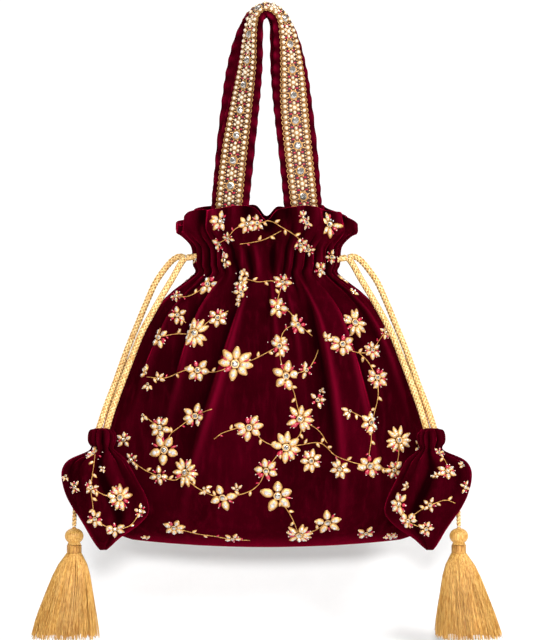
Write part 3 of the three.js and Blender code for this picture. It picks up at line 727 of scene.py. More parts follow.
def on_strap(shares, sideways, up):
    """Points of the handle: share of its length, millimetres across it and above its middle."""
    shares, sideways, up = np.broadcast_arrays(shares, sideways, up)
    middle, _, across, face, width = strap_frames(shares.ravel())
    points = middle + across * (sideways.ravel() * width)[:, None] + face * up.ravel()[:, None]
    return points.reshape(*shares.shape, 3)


even = np.linspace(0, 1, 2001)
trail = strap_line(even)[:, :3]
strap_travel = np.concatenate([[0], np.cumsum(np.linalg.norm(np.diff(trail, axis=0), axis=1))])
STRAP_LENGTH = strap_travel[-1]


def share_at(distance):
    return np.interp(distance, strap_travel, even)


print("handle length:", round(STRAP_LENGTH), "mm")

# %% [markdown]
# The strap's velvet is drawn over padding and stitched along both edges of the trim. The stitches pull it
# into small puckers along its edges, so the section ripples there, and the same waves are painted on its
# colour as shade in the dips and highlight on the rises.

# %% Velvet straps
strap_shares = share_at(np.linspace(0, STRAP_LENGTH, 260))[:, None]
section_angle = circle(56)[None, :]
c, s = np.cos(section_angle), np.sin(section_angle)
sideways = STRAP_W / 2 * np.sign(c) * np.abs(c) ** 0.72
height = STRAP_T / 2 * np.sign(s) * np.abs(s) ** 0.62
run = strap_shares * STRAP_LENGTH
edge = np.abs(c) ** 3
waves = np.sin(run / 1.7 + 2 * np.sin(run / 17) + 1.3 * c)
ripple = 0.6 * edge * waves + 0.25 * np.sin(run / 9 + 3 * c)
seam = -0.35 * bell((np.abs(sideways) - 11.6) / 0.5) * (s > 0)
swollen = height + np.sign(s) * (0.3 * ripple * edge + seam)
section = on_strap(strap_shares, sideways * (1 + 0.03 * ripple), swollen)
for side_name, faced in (("front", section), ("back", half_turned(section))):
    piece = tube_mesh(f"velvet_strap_{side_name}", faced[:, ::-1] * MM, velvet)
    # painted shade in the puckers' dips, and painted highlight along both edges, stronger on the rises
    paint(piece, "painted_shade", (0.75 * edge * smoothstep(-waves))[:, ::-1])
    paint(piece, "painted_highlight", (edge * (0.35 + 0.6 * smoothstep(waves)))[:, ::-1])
    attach(piece, "bag")
    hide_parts(f"handle_{side_name}_strap")
print("straps made,", section.shape[0], "rings each")

# %% [markdown]
# Beads, stones and petals repeat hundreds of times. Each kind is modelled once as a small mesh of unit size,
# from rings of points that are closed by a tip. Blender's own spheres would do for the beads, but a petal's
# point and a stone's facets need rings of their own, and few triangles matter where there are so many.

# %% Small parts
def level_ring(sides, radius, level, turn=0.0):
    around = circle(sides) + turn
    return np.stack([radius * np.cos(around), radius * np.sin(around), np.full(sides, float(level))], 1)


def closed_above(rings, tip, foot=None):
    """Points and triangles of rings from the bottom up, closed by a tip and, if given, a foot."""
    rows, sides, _ = rings.shape
    first, last = np.arange(sides), (rows - 1) * sides + np.arange(sides)
    points = [rings.reshape(-1, 3), [tip]]
    faces = [triangles(grid_faces(rows, sides)),
             np.stack([last, np.roll(last, -1), np.full(sides, rows * sides)], 1)]
    if foot:
        points.append([foot])
        faces.append(np.stack([np.roll(first, -1), first, np.full(sides, rows * sides + 1)], 1))
    return np.vstack(points), np.vstack(faces)


def dome(sides, rows, squash=1.0, point=0.0, skirt=0.0):
    """A dome on a ring, as wide as it is long, pulled out to a point towards +Y if asked."""
    leans = np.arange(rows) * (math.pi / 2) / rows
    rings = np.array([level_ring(sides, math.cos(lean), squash * math.sin(lean)) for lean in leans])
    ahead = np.maximum(rings[..., 1], 0)
    rings[..., 0] *= 1 - point * 0.5 * ahead ** 1.5
    rings[..., 1] += point * 0.5 * ahead ** 3
    rings[0, :, 2] -= skirt
    return closed_above(rings, (0, 0, squash))


def faceted_stone(sides=8):
    """A cut stone: a table, a sloping crown and a girdle, with flat facets."""
    levels = [(1, 0, 0), (0.97, 0.25, 0), (0.74, 0.62, math.pi / sides), (0.46, 0.8, 0)]
    return closed_above(np.array([level_ring(sides, *level) for level in levels]), (0, 0, 0.8))


def bead(sides=8, rows=5):
    """A whole round bead."""
    leans = np.linspace(math.pi, 0, rows + 1)[1:-1]
    rings = np.array([level_ring(sides, math.sin(lean), math.cos(lean)) for lean in leans])
    return closed_above(rings, (0, 0, 1), (0, 0, -1))


def rim_ring(sides=12, section=5, thick=0.22):
    """A gold rim round a stone: a small torus pinched into grains."""
    around, turn = circle(sides)[:, None], circle(section)
    grain = thick * (1 - 0.3 * (np.arange(sides) % 2))[:, None]
    reach = 1 + grain * np.cos(turn)
    points = np.stack([reach * np.cos(around), reach * np.sin(around), grain * np.sin(turn)], -1)
    quads = grid_faces(sides + 1, section) % (sides * section)
    return points.reshape(-1, 3), triangles(quads[:, ::-1])


PETAL, STONE, BEAD, RIM = dome(10, 3, 0.9, 0.5, 0.5), faceted_stone(), bead(), rim_ring()
DOME, BEAD_SMALL = dome(8, 3, 0.9, 0.0, 0.4), bead(6, 4)
print("triangles of a petal, a stone, a bead and a rim:", [len(s[1]) for s in (PETAL, STONE, BEAD, RIM)])

# %% [markdown]
# Each kind of part is set out in numpy by a list of places, each with its own directions and size, and joined
# into one piece per finish. Linked copies would do as well in the viewport, but one mesh per kind is what
# travels well to other programs.

# %% Setting out
def set_out(name, shape, places, finish, smooth=True, body="bag"):
    """Copies one small shape to many places: centre, x direction, y direction, up, x size, y size, height."""
    points, faces = shape
    centres = np.array([p[0] for p in places], float)
    frames = np.array([[np.array(axis) * size for axis, size in zip(p[1:4], p[4:])] for p in places], float)
    laid = np.einsum("nk,pkj->pnj", points, frames) + centres[:, None]
    numbered = faces[None] + (np.arange(len(places)) * len(points))[:, None, None]
    piece = new_mesh(name, laid.reshape(-1, 3) * MM, numbered.reshape(-1, 3), finish, smooth)
    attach(piece, body)


print("small parts are set out by centre, three directions and three sizes")

# %% [markdown]
# The jewelled trim is a woven gold band couched along each strap: pearls in gold rims along both edges, and
# down the middle large cut crystals with clusters of small pearls between them. The spacing is the real one:
# a pearl every 3.7 mm and a crystal every 17.6 mm. It lies on a ground of dark red stitches, which shows
# between them.

# %% Jewelled trim
TRIM_W, TRIM_UP = 18, STRAP_T / 2 + 0.45
PEARL_PITCH, STONE_PITCH = 3.7, 17.6
PEARL_ROW, SCALLOP_ROW, GRAIN_ROW = 6.7, 7.9, 4.75
GRAINS_ROUND, PEARLS_ROUND = 3.95, 3.0
trim_start, trim_end = 13.0, STRAP_LENGTH - 13.0
band_shares = share_at(np.arange(trim_start, trim_end, 0.9))[:, None]
profile = np.array([[-1, 0], [-1, 0.3], [-0.9, 0.5], [0, 0.6], [0.9, 0.5], [1, 0.3], [1, 0], [0, 0]])
band = on_strap(band_shares, TRIM_W / 2 * profile[None, :, 0], TRIM_UP + profile[None, :, 1])
trim_parts = {}


def trim_place(kind, distance, sideways, up, size_x, size_y, size_z, turn=0.0):
    """Adds one small part at a distance along the strap and across it, turned in its own plane."""
    share = np.array([share_at(distance)])
    _, along, across, face, _ = (v[0] for v in strap_frames(share))
    x = across * math.cos(turn) + along * math.sin(turn)
    y = -across * math.sin(turn) + along * math.cos(turn)
    centre = on_strap(share, np.array([sideways]), np.array([TRIM_UP + up]))[0]
    trim_parts.setdefault(kind, []).append((centre, x, y, face, size_x, size_y, size_z))


def rimmed_pearl(distance, sideways, radius, up):
    trim_place("pearls", distance, sideways, up, radius, radius, radius)
    trim_place("rims", distance, sideways, up - 0.25, radius * 1.2, radius * 1.2, radius * 1.3)


for i in range(int((trim_end - trim_start) / PEARL_PITCH)):
    d = trim_start + PEARL_PITCH * (i + 0.5)
    for edge in (-1, 1):
        rimmed_pearl(d, edge * PEARL_ROW, 1.25, 1.15)
        trim_place("scallops", d, edge * SCALLOP_ROW, 0.4, 1.6, 1.6, 1.2)
        for half in (0, 0.5):
            trim_place("grains", d + half * PEARL_PITCH, edge * GRAIN_ROW, 0.75, 0.5, 0.5, 0.5)
for i in range(int((trim_end - trim_start) / STONE_PITCH)):
    d = trim_start + STONE_PITCH * (i + 0.5)
    trim_place("crystals", d, 0, 0.7, 2.75, 2.75, 2.6, 0.2 * i)
    trim_place("rims", d, 0, 0.9, 3.05, 3.05, 2.6)
    for a in circle(8) + TURN / 16:
        round_x, round_y = GRAINS_ROUND * math.cos(a), GRAINS_ROUND * math.sin(a)
        trim_place("grains", d + round_y, round_x, 0.8, 0.55, 0.55, 0.55)
    rimmed_pearl(d + STONE_PITCH / 2, 0, 1.45, 1.3)
    for a in circle(6) + TURN / 12:
        rimmed_pearl(d + STONE_PITCH / 2 + PEARLS_ROUND * math.sin(a), PEARLS_ROUND * math.cos(a), 0.95, 0.9)
    for near in (-5.2, 5.2):
        rimmed_pearl(d + near, 0, 0.85, 0.85)
        for across_side in (-2.7, 2.7):
            trim_place("drops", d + 0.88 * near, across_side, 0.5, 0.7, 1.3, 1.0, across_side * near)
print("trim parts:", {part: len(places) for part, places in trim_parts.items()})

# %% [markdown]
# The back handle is the front one turned half round the bag's upright axis, so its trim has the same places,
# turned. Each kind of part becomes one piece, in its own finish, over a band of dark red stitches.

# %% Trim in place
TRIM_KINDS = {"pearls": (BEAD, pearl), "rims": (RIM, rim_gold), "scallops": (RIM, rim_gold),
              "crystals": (STONE, cut_crystal), "grains": (BEAD_SMALL, petal_gold), "drops": (DOME, ruby)}
for side_name in ("front", "back"):
    faced = band if side_name == "front" else half_turned(band)
    piece = tube_mesh(f"trim_band_{side_name}", faced[:, ::-1] * MM, red_ground)
    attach(piece, "bag")
    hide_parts(f"handle_{side_name}_trim")
    for part, places in trim_parts.items():
        shape, finish = TRIM_KINDS[part]
        turned_places = places if side_name == "front" else half_turned_places(places)
        set_out(f"trim_{part}_{side_name}", shape, turned_places, finish, smooth=part != "crystals")
print("trim pieces on each handle:", 1 + len(trim_parts))

# %% [markdown]
# The small pouches close over the cords' ends: each is a round of velvet, filled, and tied under a little
# ruffle. The cloth is slack at the tie, so it pleats there, and a few folds run down from it. The table
# gives the pouch's left and right edge and its half depth at each height.

# %% Small pouches
KNOB_Y, KNOB_Z, POUCH_Y = -37, -293, -42.5
TIP_Z, TIE_Z, TOP_Z = -365, -295.5, -281.4
pouch_rows = curve_through([
    [-365, -115, -110, 1.5], [-362, -117.4, -106.5, 5], [-357, -120.6, -101, 9.5], [-350, -124.8, -91, 13],
    [-342, -130, -83, 15.5], [-336, -134, -81.4, 16.8], [-327, -138.5, -83.6, 17.2],
    [-317, -141.2, -88.5, 16.5], [-309, -141, -92.8, 14.5], [-303, -136.5, -96.5, 12],
    [-297.5, -124.5, -102.6, 8.6], [-294.5, -122.2, -104.6, 7.8], [-290.5, -123.6, -103.8, 8.6],
    [-286, -123.4, -103.6, 8.8], [-283, -121.6, -105.6, 7.4], [-281.4, -118, -109.5, 4.2]])
pouch_angles = circle(160)[None, :]
pouch_climb = np.concatenate([np.linspace(TIP_Z, TIP_Z + 2.5, 6), np.arange(TIP_Z + 3, -300, 1.1),
                              np.arange(-300, TOP_Z, 0.6)])[:, None]
# Each fold: depth, place round the pouch, lean, width, height where it is deepest, reach
POUCH_FOLDS = [(2.6, -1.35, 0.004, 0.17, -328, 34), (1.8, -2.35, 0, 0.2, -312, 20),
               (1.6, -0.55, 0, 0.22, -316, 22), (2.0, 1.6, 0, 0.2, -322, 28)]


def pouch_surface(angle, z, seed):
    """Points of a small pouch's velvet, and how far each stands above or below the smooth form, for its
    painted shade and highlight.
    """
    angle, z = np.broadcast_arrays(angle, z)
    left, right, deep = pouch_rows(z.ravel()).T.reshape(3, *z.shape)
    tie = bell((z - TIE_Z) / 2.6)
    below = smoothstep((KNOB_Z - z) / 30)
    warped = angle + 0.12 * np.sin(3 * angle + seed)
    pleat = np.abs(np.cos(5.5 * warped)) ** 1.2 - 1
    strength = 3.3 * bell((z + 292) / 13) + 0.9 * bell((z + 316) / 20)
    folded = 0
    for depth, place, lean, width, deepest, reach in POUCH_FOLDS:
        away = wrapped(angle - place + lean * (z + 330))
        folded = folded - depth * bell(away / width) * bell((z - deepest) / reach)
    slack = 0.5 * np.sin(5 * angle + 0.11 * z + seed) * smoothstep((z - TIP_Z) / 16) * below
    shift = strength * pleat + folded + slack - 0.9 * tie
    rise = 0.9 * np.cos(6 * warped + seed) * smoothstep((z + 289) / 3) * smoothstep((-281.6 - z) / 2)
    x = (left + right) / 2 + ((right - left) / 2 + shift) * np.cos(angle)
    y = KNOB_Y + (POUCH_Y - KNOB_Y) * below + (deep + 0.8 * shift) * np.sin(angle)
    # relief for the painting: painted highlight on the tops of the pleats, painted shade in the pleats, the
    # folds and the tie
    relief = strength * (pleat + 0.35) + folded - 0.9 * tie
    return np.stack([x, y, z + rise], -1), relief


pouches = {}
for side_name, side in SIDES.items():
    rings, relief = pouch_surface(pouch_angles, pouch_climb, 1.0 if side > 0 else 2.4)
    piece = tube_mesh(f"small_pouch_velvet_{side_name}", mirrored_rings(rings, side) * MM, velvet)
    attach(piece, f"small_pouch_{side_name}")
    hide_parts(f"pouch_{side_name}")
    # painted shade in the pouch's pleats and folds, painted highlight on their tops
    paint_fold_shade_and_highlight(piece, relief if side > 0 else relief[:, ::-1], 2.3)
    pouches[side_name] = piece
print("small pouches made")

# %% [markdown]
# A tassel is a bundle of silk strands looped over a cord, wound tight under the loop and cut straight below.
# So the skirt here is hundreds of separate strands round a soft core, the head is a ball under meridian
# threads, and the collar is the winding. Two helpers come first: one for turned shapes, and one for the laid
# string.

# %% Tassel helpers
NUB = np.array([-132.93, -35.74, -350.6])
STRING_TOP = np.array([-132.43, -35.74, -338])
HEAD_R, COLLAR_TOP, COLLAR_FOOT = 6.3, -11.7, -17.1


def turned(name, profile, around, grooves, depth, finish, place, side):
    """A turned shape with shallow lengthwise threads. The profile runs from the bottom up."""
    profile = np.array(profile, float)
    angle = circle(around)[None, :]
    radius = profile[:, :1] * (1 + depth * (np.abs(np.sin(grooves * angle / 2)) - 0.5))
    rings = np.stack([radius * np.cos(angle), radius * np.sin(angle), profile[:, 1:] + 0 * angle], -1) + place
    return tube_mesh(name, mirrored_rings(rings, side) * MM, finish)


def twisted(name, route, diameter, finish, plies=2, pitch=5.0, around=14, step=0.4):
    """A cord of plies laid round each other."""
    centre = smooth_route(route, step)
    angle = circle(around)[None, :]
    distance = np.arange(len(centre))[:, None] * step
    ply = np.abs(np.cos(0.5 * plies * (angle - TURN * distance / pitch))) ** 0.7
    radius = diameter / 2 * (0.62 + 0.38 * ply)
    piece = tube_mesh(name, rings_round(centre, radius, angle) * MM, finish)
    # painted shade in the grooves between the plies
    paint(piece, "painted_shade", 0.9 * smoothstep((0.8 - ply) / 0.4))
    return piece


print("tassel hangs from", NUB, "mm")

# %% [markdown]
# The skirt hangs straighter on the side away from the bag, so its rows give a radius and a shift at each
# share of its height. Hair particles would make strands too, but real meshes can be exported, and their cut
# ends show.

# %% Skirt
SKIRT, STRAND = 57.2, 0.34
skirt_rows = curve_through([[0, 4.9, 0], [0.06, 7.4, -0.4], [0.22, 11.9, -1.4], [0.5, 16.6, -3.4],
                            [0.8, 21, -5.6], [1, 22.8, -7]])


def skirt_strands(place, side, count=520):
    """Strands from the collar to the hem, each one three-sided, spread a little and cut unevenly."""
    share = np.linspace(0, 1, 8)
    start = rng.uniform(0, TURN, count)
    reach = rng.uniform(0.72, 1.0, count) ** 0.5
    longer = rng.normal(1.0, 0.018, count).clip(0.93, 1.035)
    wander = rng.normal(0, 0.05, (count, 1)) * share ** 2
    width, lean = skirt_rows(share).T
    angle = start[:, None] + wander + rng.normal(0, 0.02, (count, 1)) * np.sin(3 * share)
    radius = width * reach[:, None] * (1 + 0.05 * rng.normal(0, 1, (count, 1)) * share ** 2)
    z = COLLAR_FOOT - 0.2 - SKIRT * share * longer[:, None]
    line = np.stack([radius * np.cos(angle) + lean, radius * np.sin(angle), z], -1)
    thick = STRAND * (1 - 0.35 * share)[:, None, None]
    corner = circle(3)[:, None]
    out = np.stack([np.cos(angle), np.sin(angle), 0 * angle], -1)[:, :, None]
    aside = np.stack([-np.sin(angle), np.cos(angle), 0 * angle], -1)[:, :, None]
    rings = line[:, :, None] + thick * (np.cos(corner) * out + np.sin(corner) * aside)
    points = mirrored(rings + place, side).reshape(-1, 3)
    faces = grid_faces(len(share), 3)[:, ::side] + (np.arange(count) * 3 * len(share))[:, None, None]
    return points, faces[:, :, ::-1].reshape(-1, 4)


def skirt_core(place, side):
    """The soft middle of the skirt, grooved like the strands over it."""
    angle = circle(72)[None, :]
    share = np.linspace(0, 0.985, 16)[::-1]
    width, lean = skirt_rows(share).T
    groove = 1 + 0.05 * np.abs(np.sin(18 * angle)) * (0.3 + share[:, None])
    reach = (0.84 * width)[:, None] * groove
    level = (COLLAR_FOOT + 0.3 - 56 * share)[:, None] + 0.6 * np.cos(7 * angle) * share[:, None]
    rings = np.stack([reach * np.cos(angle) + lean[:, None], reach * np.sin(angle), level], -1)
    return mirrored_rings(rings + place, side)


print("skirt radius at the hem:", skirt_rows(1)[0, 0], "mm")

# %% [markdown]
# Each tassel is put together in the order in which it is made: the string, the ball over its knot, the
# winding of gold thread and the skirt. The ball and the winding are turned shapes, since both are wound on a
# round form.

# %% Tassels in place
PLIES, ROUNDS = 5, 7
ball = [(4.2, -11.5), (4.6, -11.3)]
ball += [(HEAD_R * math.sin(a) ** 0.9, -5.6 - 5.4 * math.cos(a)) for a in np.linspace(0.62, 2.95, 22)]
ball += [(1.5, -0.2), (1.0, 0.7)]
winding = [(3.9, COLLAR_FOOT)]
for i in range(ROUNDS):
    for k in range(PLIES):
        a = math.pi * (k + 0.5) / PLIES
        level = COLLAR_FOOT + (COLLAR_TOP - COLLAR_FOOT) * (i + (1 - math.cos(a)) / 2) / ROUNDS
        winding.append((4.75 + 0.42 * math.sin(a), level))
winding.append((3.9, COLLAR_TOP))
for side_name, side in SIDES.items():
    string = mirrored([STRING_TOP + [0, 0, 0.6], (STRING_TOP + NUB) / 2, NUB + [0, 0, 1.2]], side)
    piece = twisted(f"tassel_cord_{side_name}", string, 3.2, gold_cord)
    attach(piece, f"tassel_string_{side_name}")
    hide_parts(f"tassel_{side_name}_string")
    head = turned(f"tassel_ball_{side_name}", ball, 144, 36, 0.05, silk, NUB, side)
    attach(head, f"tassel_{side_name}")
    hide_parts(f"tassel_{side_name}_head")
    collar = turned(f"tassel_winding_{side_name}", winding, 64, 0, 0.0, gold_thread, NUB, side)
    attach(collar, f"tassel_{side_name}")
    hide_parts(f"tassel_{side_name}_collar")
    points, faces = skirt_strands(NUB, side)
    strands = new_mesh(f"tassel_strands_{side_name}", points * MM, faces, silk)
    core = tube_mesh(f"tassel_core_{side_name}", skirt_core(NUB, side) * MM, silk)
    for piece in (strands, core):
        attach(piece, f"tassel_{side_name}")
    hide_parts(f"tassel_{side_name}_skirt")
print("tassels made")

# %% [markdown]
# The embroidery is raised goldwork: petals of couched gold thread, each set with a crystal, red drops
# between them, and vines of twisted gold thread. It is laid out as the embroiderer sees it, from the front,
# and every petal is then set down on the cloth below it and tilted to lie along the fold. Each flower is a
# place in the front view, its number of petals and its reach in pixels; a vine is a line of places. The back
# of the bag carries the same pattern, turned half round.

# %% Pattern
BAG_FLOWERS = [
    (220, 221, 7, 10), (247, 224, 6, 9), (257, 223, 5, 8), (303, 217, 4, 7), (307, 223, 4, 6),
    (330, 224.5, 9, 12), (225, 260, 5, 8), (207.5, 284, 6, 11), (241, 283, 5, 8), (241, 292, 5, 8),
    (240, 301, 3, 6), (244, 270, 3, 7), (177.5, 315, 5, 9), (194, 333, 10, 15), (217.5, 317.5, 6, 10),
    (159, 337.5, 6, 10), (235, 364, 8, 17), (197.5, 370, 6, 12), (146, 373, 3, 9), (158, 379, 3, 7),
    (148, 384, 3, 7), (279, 346, 6, 11), (277.5, 307.5, 5, 11), (282.5, 282.5, 5, 9), (297.5, 325, 6, 11),
    (286, 376, 5, 14), (306, 370, 5, 8), (355, 322.5, 10, 14), (342.5, 344, 6, 12), (326, 340, 3, 8),
    (372.5, 350, 6, 9), (385, 332.5, 4, 7), (377.5, 377.5, 6, 11), (344, 281, 3, 8), (353, 293, 3, 6),
    (320, 270, 5, 8), (195, 416, 7, 12), (160, 427.5, 6, 11), (143, 415, 2, 7), (164, 450, 5, 15),
    (185, 472.5, 10, 14), (159, 476, 4, 9), (249, 427.5, 7, 13), (300, 419, 9, 14), (317.5, 400, 5, 8),
    (320, 391, 2, 5), (286, 447.5, 8, 15), (311, 461, 7, 11), (340, 469, 7, 10), (370, 466, 7, 13),
    (394, 470, 5, 9), (399, 440, 10, 13), (371, 422.5, 6, 11), (350, 411, 3, 8), (266, 471, 6, 12),
    (277.5, 496, 5, 16), (222.5, 497.5, 4, 13), (204, 488, 3, 7), (237, 490, 3, 6), (174, 527.5, 7, 11),
    (232.5, 538.5, 5, 8), (299, 535, 10, 14), (327.5, 522.5, 5, 13), (366, 533, 4, 9), (391, 536, 5, 7),
    (147, 538, 3, 6), (219, 244, 5, 8), (228, 238, 4, 6), (301, 245, 5, 8), (309, 250, 4, 6),
    (332, 257, 4, 7), (196, 259, 4, 5), (124, 440, 5, 8), (131, 460, 4, 7), (419, 446, 4, 6),
    (176, 296, 4, 6), (410, 478, 4, 6)]
POUCH_FLOWERS = {
    "left": [(120, 497.5, 9, 13), (93, 454, 5, 8), (91, 487.5, 5, 7), (95, 519, 7, 9), (115, 529, 6, 9),
             (140, 511, 4, 7), (75, 487, 4, 6), (104, 468, 3, 5), (66, 476, 3, 5)],
    "right": [(399, 504, 6, 10), (408, 521, 6, 9), (426, 529, 5, 8), (430, 505, 5, 7), (447.5, 471, 6, 9),
              (437, 477, 3, 6), (439, 453, 4, 6), (463, 466, 3, 5), (465, 487, 4, 6), (408, 487, 3, 6)]}
BAG_VINES = [
    [(257, 224), (270, 221), (283, 228), (296, 236), (302, 245)], [(240, 244), (262, 240), (281, 231)],
    [(147, 377), (165, 378), (186, 370), (197, 370), (216, 372), (235, 364), (252, 360), (268, 352),
    (279, 346)], [(279, 346), (284, 331), (297, 325), (312, 336)], [(297, 325), (290, 312), (277, 307),
    (282, 283)], [(279, 346), (281, 362), (286, 376), (293, 390), (297, 405), (300, 419), (300, 434),
    (286, 447)], [(286, 376), (306, 370), (314, 360), (318, 350)], [(214, 439), (225, 432), (249, 427),
    (262, 440), (275, 446), (286, 447), (276, 457), (266, 471), (258, 485), (245, 493), (222, 497),
    (205, 492), (190, 482), (185, 472)], [(286, 447), (300, 445), (320, 443), (335, 455), (352, 462),
    (370, 466), (394, 470)], [(300, 419), (318, 430), (327, 443)], [(371, 422), (371, 440), (369, 455),
    (370, 466)], [(377, 378), (378, 395), (375, 410), (371, 422)], [(342, 344), (352, 351), (362, 353),
    (372, 350), (385, 332)], [(358, 352), (368, 362), (377, 378)], [(164, 450), (170, 435), (178, 428),
    (195, 416), (212, 409)], [(160, 427), (151, 421), (143, 414)], [(131, 460), (145, 470), (159, 476),
    (175, 480), (185, 473)], [(277, 496), (286, 508), (293, 520), (299, 535)], [(174, 527), (195, 533),
    (215, 536), (232, 539), (250, 540)], [(177, 297), (190, 296), (207, 286)], [(159, 337), (176, 334),
    (194, 333), (208, 322), (217, 317), (228, 311)], [(177, 315), (186, 323)], [(219, 243), (228, 237),
    (235, 229), (243, 225)], [(241, 290), (245, 280), (258, 282), (270, 281), (282, 283)], [(394, 470),
    (398, 458), (399, 440)], [(350, 411), (360, 416), (371, 422)], [(299, 535), (315, 530), (327, 522)]]
POUCH_VINES = {
    "left": [[(95, 455), (93, 470), (91, 487), (93, 505), (95, 519), (108, 527), (116, 529), (130, 525),
              (140, 512)],
             [(91, 487), (104, 495), (118, 498)]],
    "right": [[(430, 505), (418, 512), (408, 521), (426, 529)], [(430, 505), (445, 500), (455, 503)],
              [(439, 453), (446, 463), (447, 471)], [(399, 504), (404, 513), (408, 521)]]}

print("flowers:", len(BAG_FLOWERS), "vines:", len(BAG_VINES))

# %% [markdown]
# To sew a flower at a place in the front view, a ray goes from the camera through that place to the cloth.
# Its petals then go to the points of the cloth nearest to where they would lie on a flat ground. A
# Shrinkwrap modifier could bend a finished flower down, but it would bend the stones as well.

# %% Setting down on the cloth
SCREEN = SENSOR / camera_data.lens / PHOTO[1]
facing = camera.rotation_euler.to_matrix()


def cloth_below(target):
    """Two questions about a piece: what lies under a pixel of the front view, and what is nearest a point."""
    mesh = target.data
    points = np.empty(len(mesh.vertices) * 3, np.float32)
    mesh.vertices.foreach_get("co", points)
    tree = BVHTree.FromPolygons(points.reshape(-1, 3).tolist(), [tuple(p.vertices) for p in mesh.polygons])

    def under(px, py):
        look = facing @ Vector(((px - PHOTO[0] / 2) * SCREEN, -(py - PHOTO[1] / 2) * SCREEN, -1))
        place, normal, _, _ = tree.ray_cast(camera.location, look.normalized())
        return (np.array(place) / MM, np.array(normal)) if place else None

    def nearest(point):
        place, normal, _, _ = tree.find_nearest(Vector(point * MM))
        return np.array(place) / MM, np.array(normal)

    return under, nearest


print("a pixel is", round(SCREEN * DISTANCE / MM, 3), "mm wide at the bag")

# %% [markdown]
# A petal is a dark gold edge, a raised gold middle, two small crystals and a seed pearl at its tip. Some
# petals are ruby, and a red drop sits in some of the gaps. The centre is a cut crystal in a gold rim. Small
# differences in turn and length are drawn at random from a fixed seed, because a hand doesn't repeat itself.

# %% Flowers and leaves
EMBROIDERY = {"petal_edges": (PETAL, rim_gold), "petals": (PETAL, petal_gold),
              "petal_stones": (BEAD_SMALL, crystal), "seed_pearls": (BEAD_SMALL, pearl),
              "centres": (STONE, cut_crystal), "centre_rims": (RIM, petal_gold), "drops": (DOME, ruby)}
RUBY_PETALS, LEAF_STEP = 0.13, 11


def embroider(target, flowers, vines, seed):
    """Places for each small part of a pattern, by kind, and the routes of its vines, on one cloth."""
    under, nearest = cloth_below(target)
    spin = np.random.default_rng(seed)
    parts = {kind: [] for kind in EMBROIDERY}
    routes = []

    def put(kind, centre, direction, reach_out, sizes, lift=0.0):
        spot, normal = nearest(centre + direction * reach_out)
        y = direction - normal * np.dot(direction, normal)
        y /= np.linalg.norm(y)
        parts[kind].append((spot + normal * lift, np.cross(y, normal), y, normal, *sizes))

    for px, py, petals, reach in flowers:
        hit = under(px, py)
        if hit is None:
            continue
        centre, normal = hit
        size = reach * MM_PER_PIXEL
        across = np.cross([0, 0, 1.0], normal)
        across /= np.linalg.norm(across)
        level = np.cross(normal, across)
        start = spin.uniform(0, TURN)
        spread = TURN / petals if petals > 3 else 0.9
        middle = max(1.25, 0.2 * size) if petals > 3 else 0.8
        long = 0.5 * (size - middle) * 0.94
        wide = min(0.84 * long, (middle + 1.25 * long) * math.sin(min(spread, 1.6) / 2) * 1.02)
        for k in range(petals):
            a = start + spread * k + spin.normal(0, 0.1)
            direction = across * math.cos(a) + level * math.sin(a)
            stretch = spin.uniform(0.88, 1.14)
            out = middle + 0.35 + long * stretch
            if petals > 4 and spin.uniform() < RUBY_PETALS:
                put("drops", centre, direction, out - 0.2 * long, (0.6 * wide, 0.7 * long, 1.2), 0.1)
                put("seed_pearls", centre, direction, out + 0.4 * long, (0.5, 0.5, 0.5), 0.6)
                continue
            put("petal_edges", centre, direction, out, (1.0 * wide, long * stretch, 0.7), 0.05)
            put("petals", centre, direction, out - 0.04 * long, (0.8 * wide, 0.84 * long * stretch, 1.1), 0.1)
            for along_petal, scale in ((0.16, 0.5), (-0.44, 0.34)):
                grain = max(0.4, scale * wide)
                at = out + along_petal * long
                put("petal_stones", centre, direction, at, (grain, grain, 0.7 * grain), 0.95)
            put("seed_pearls", centre, direction, out + 0.98 * long * stretch, (0.42, 0.42, 0.42), 0.3)
            if petals > 3:
                b = a + spread / 2
                between = across * math.cos(b) + level * math.sin(b)
                if spin.uniform() < (0.6 if petals < 7 else 0.35):
                    put("drops", centre, between, size * 0.68, (0.55 + 0.1 * wide, 0.22 * size, 1.1), 0.05)
                    put("seed_pearls", centre, between, size * 0.9, (0.42, 0.42, 0.42), 0.3)
        put("centres", centre, level, 0.01, (0.9 * middle, 0.9 * middle, 0.8 * middle), 0.75)
        put("centre_rims", centre, level, 0.01, (middle * 1.08, middle * 1.08, 1.0), 0.55)
    for vine in vines:
        flat = smooth_route([(x, y, 0) for x, y in vine], 1.1)
        hits = [hit for hit in (under(x, y) for x, y, _ in flat) if hit is not None]
        if len(hits) < 3:
            continue
        routes.append(np.array([place + normal * 0.35 for place, normal in hits]))
        for i in range(6, len(hits) - 5, LEAF_STEP):
            place, normal = hits[i]
            ahead = hits[i + 1][0] - place
            ahead /= np.linalg.norm(ahead)
            aside = np.cross(normal, ahead) * (1 if (i // LEAF_STEP) % 2 else -1)
            way = 0.6 * ahead + 0.8 * aside
            if spin.uniform() < 0.75:
                put("petal_edges", place, way, 2.0, (1.25, 2.0, 0.6), 0.05)
                put("petals", place, way, 2.0, (0.95, 1.6, 0.9), 0.1)
                put("petal_stones", place, way, 2.1, (0.55, 0.55, 0.4), 0.8)
            else:
                put("drops", place, way, 1.6, (0.65, 1.4, 1.0), 0.1)
    return parts, routes


print("kinds of small part:", list(EMBROIDERY))

# %% [markdown]
# The vines are twisted gold thread, couched on the velvet. Each is a thin five-sided tube whose section
# turns as it goes, which is enough for a thread half a millimetre thick to catch the light in beads.

# %% Vines and sewing
THREAD = 0.25


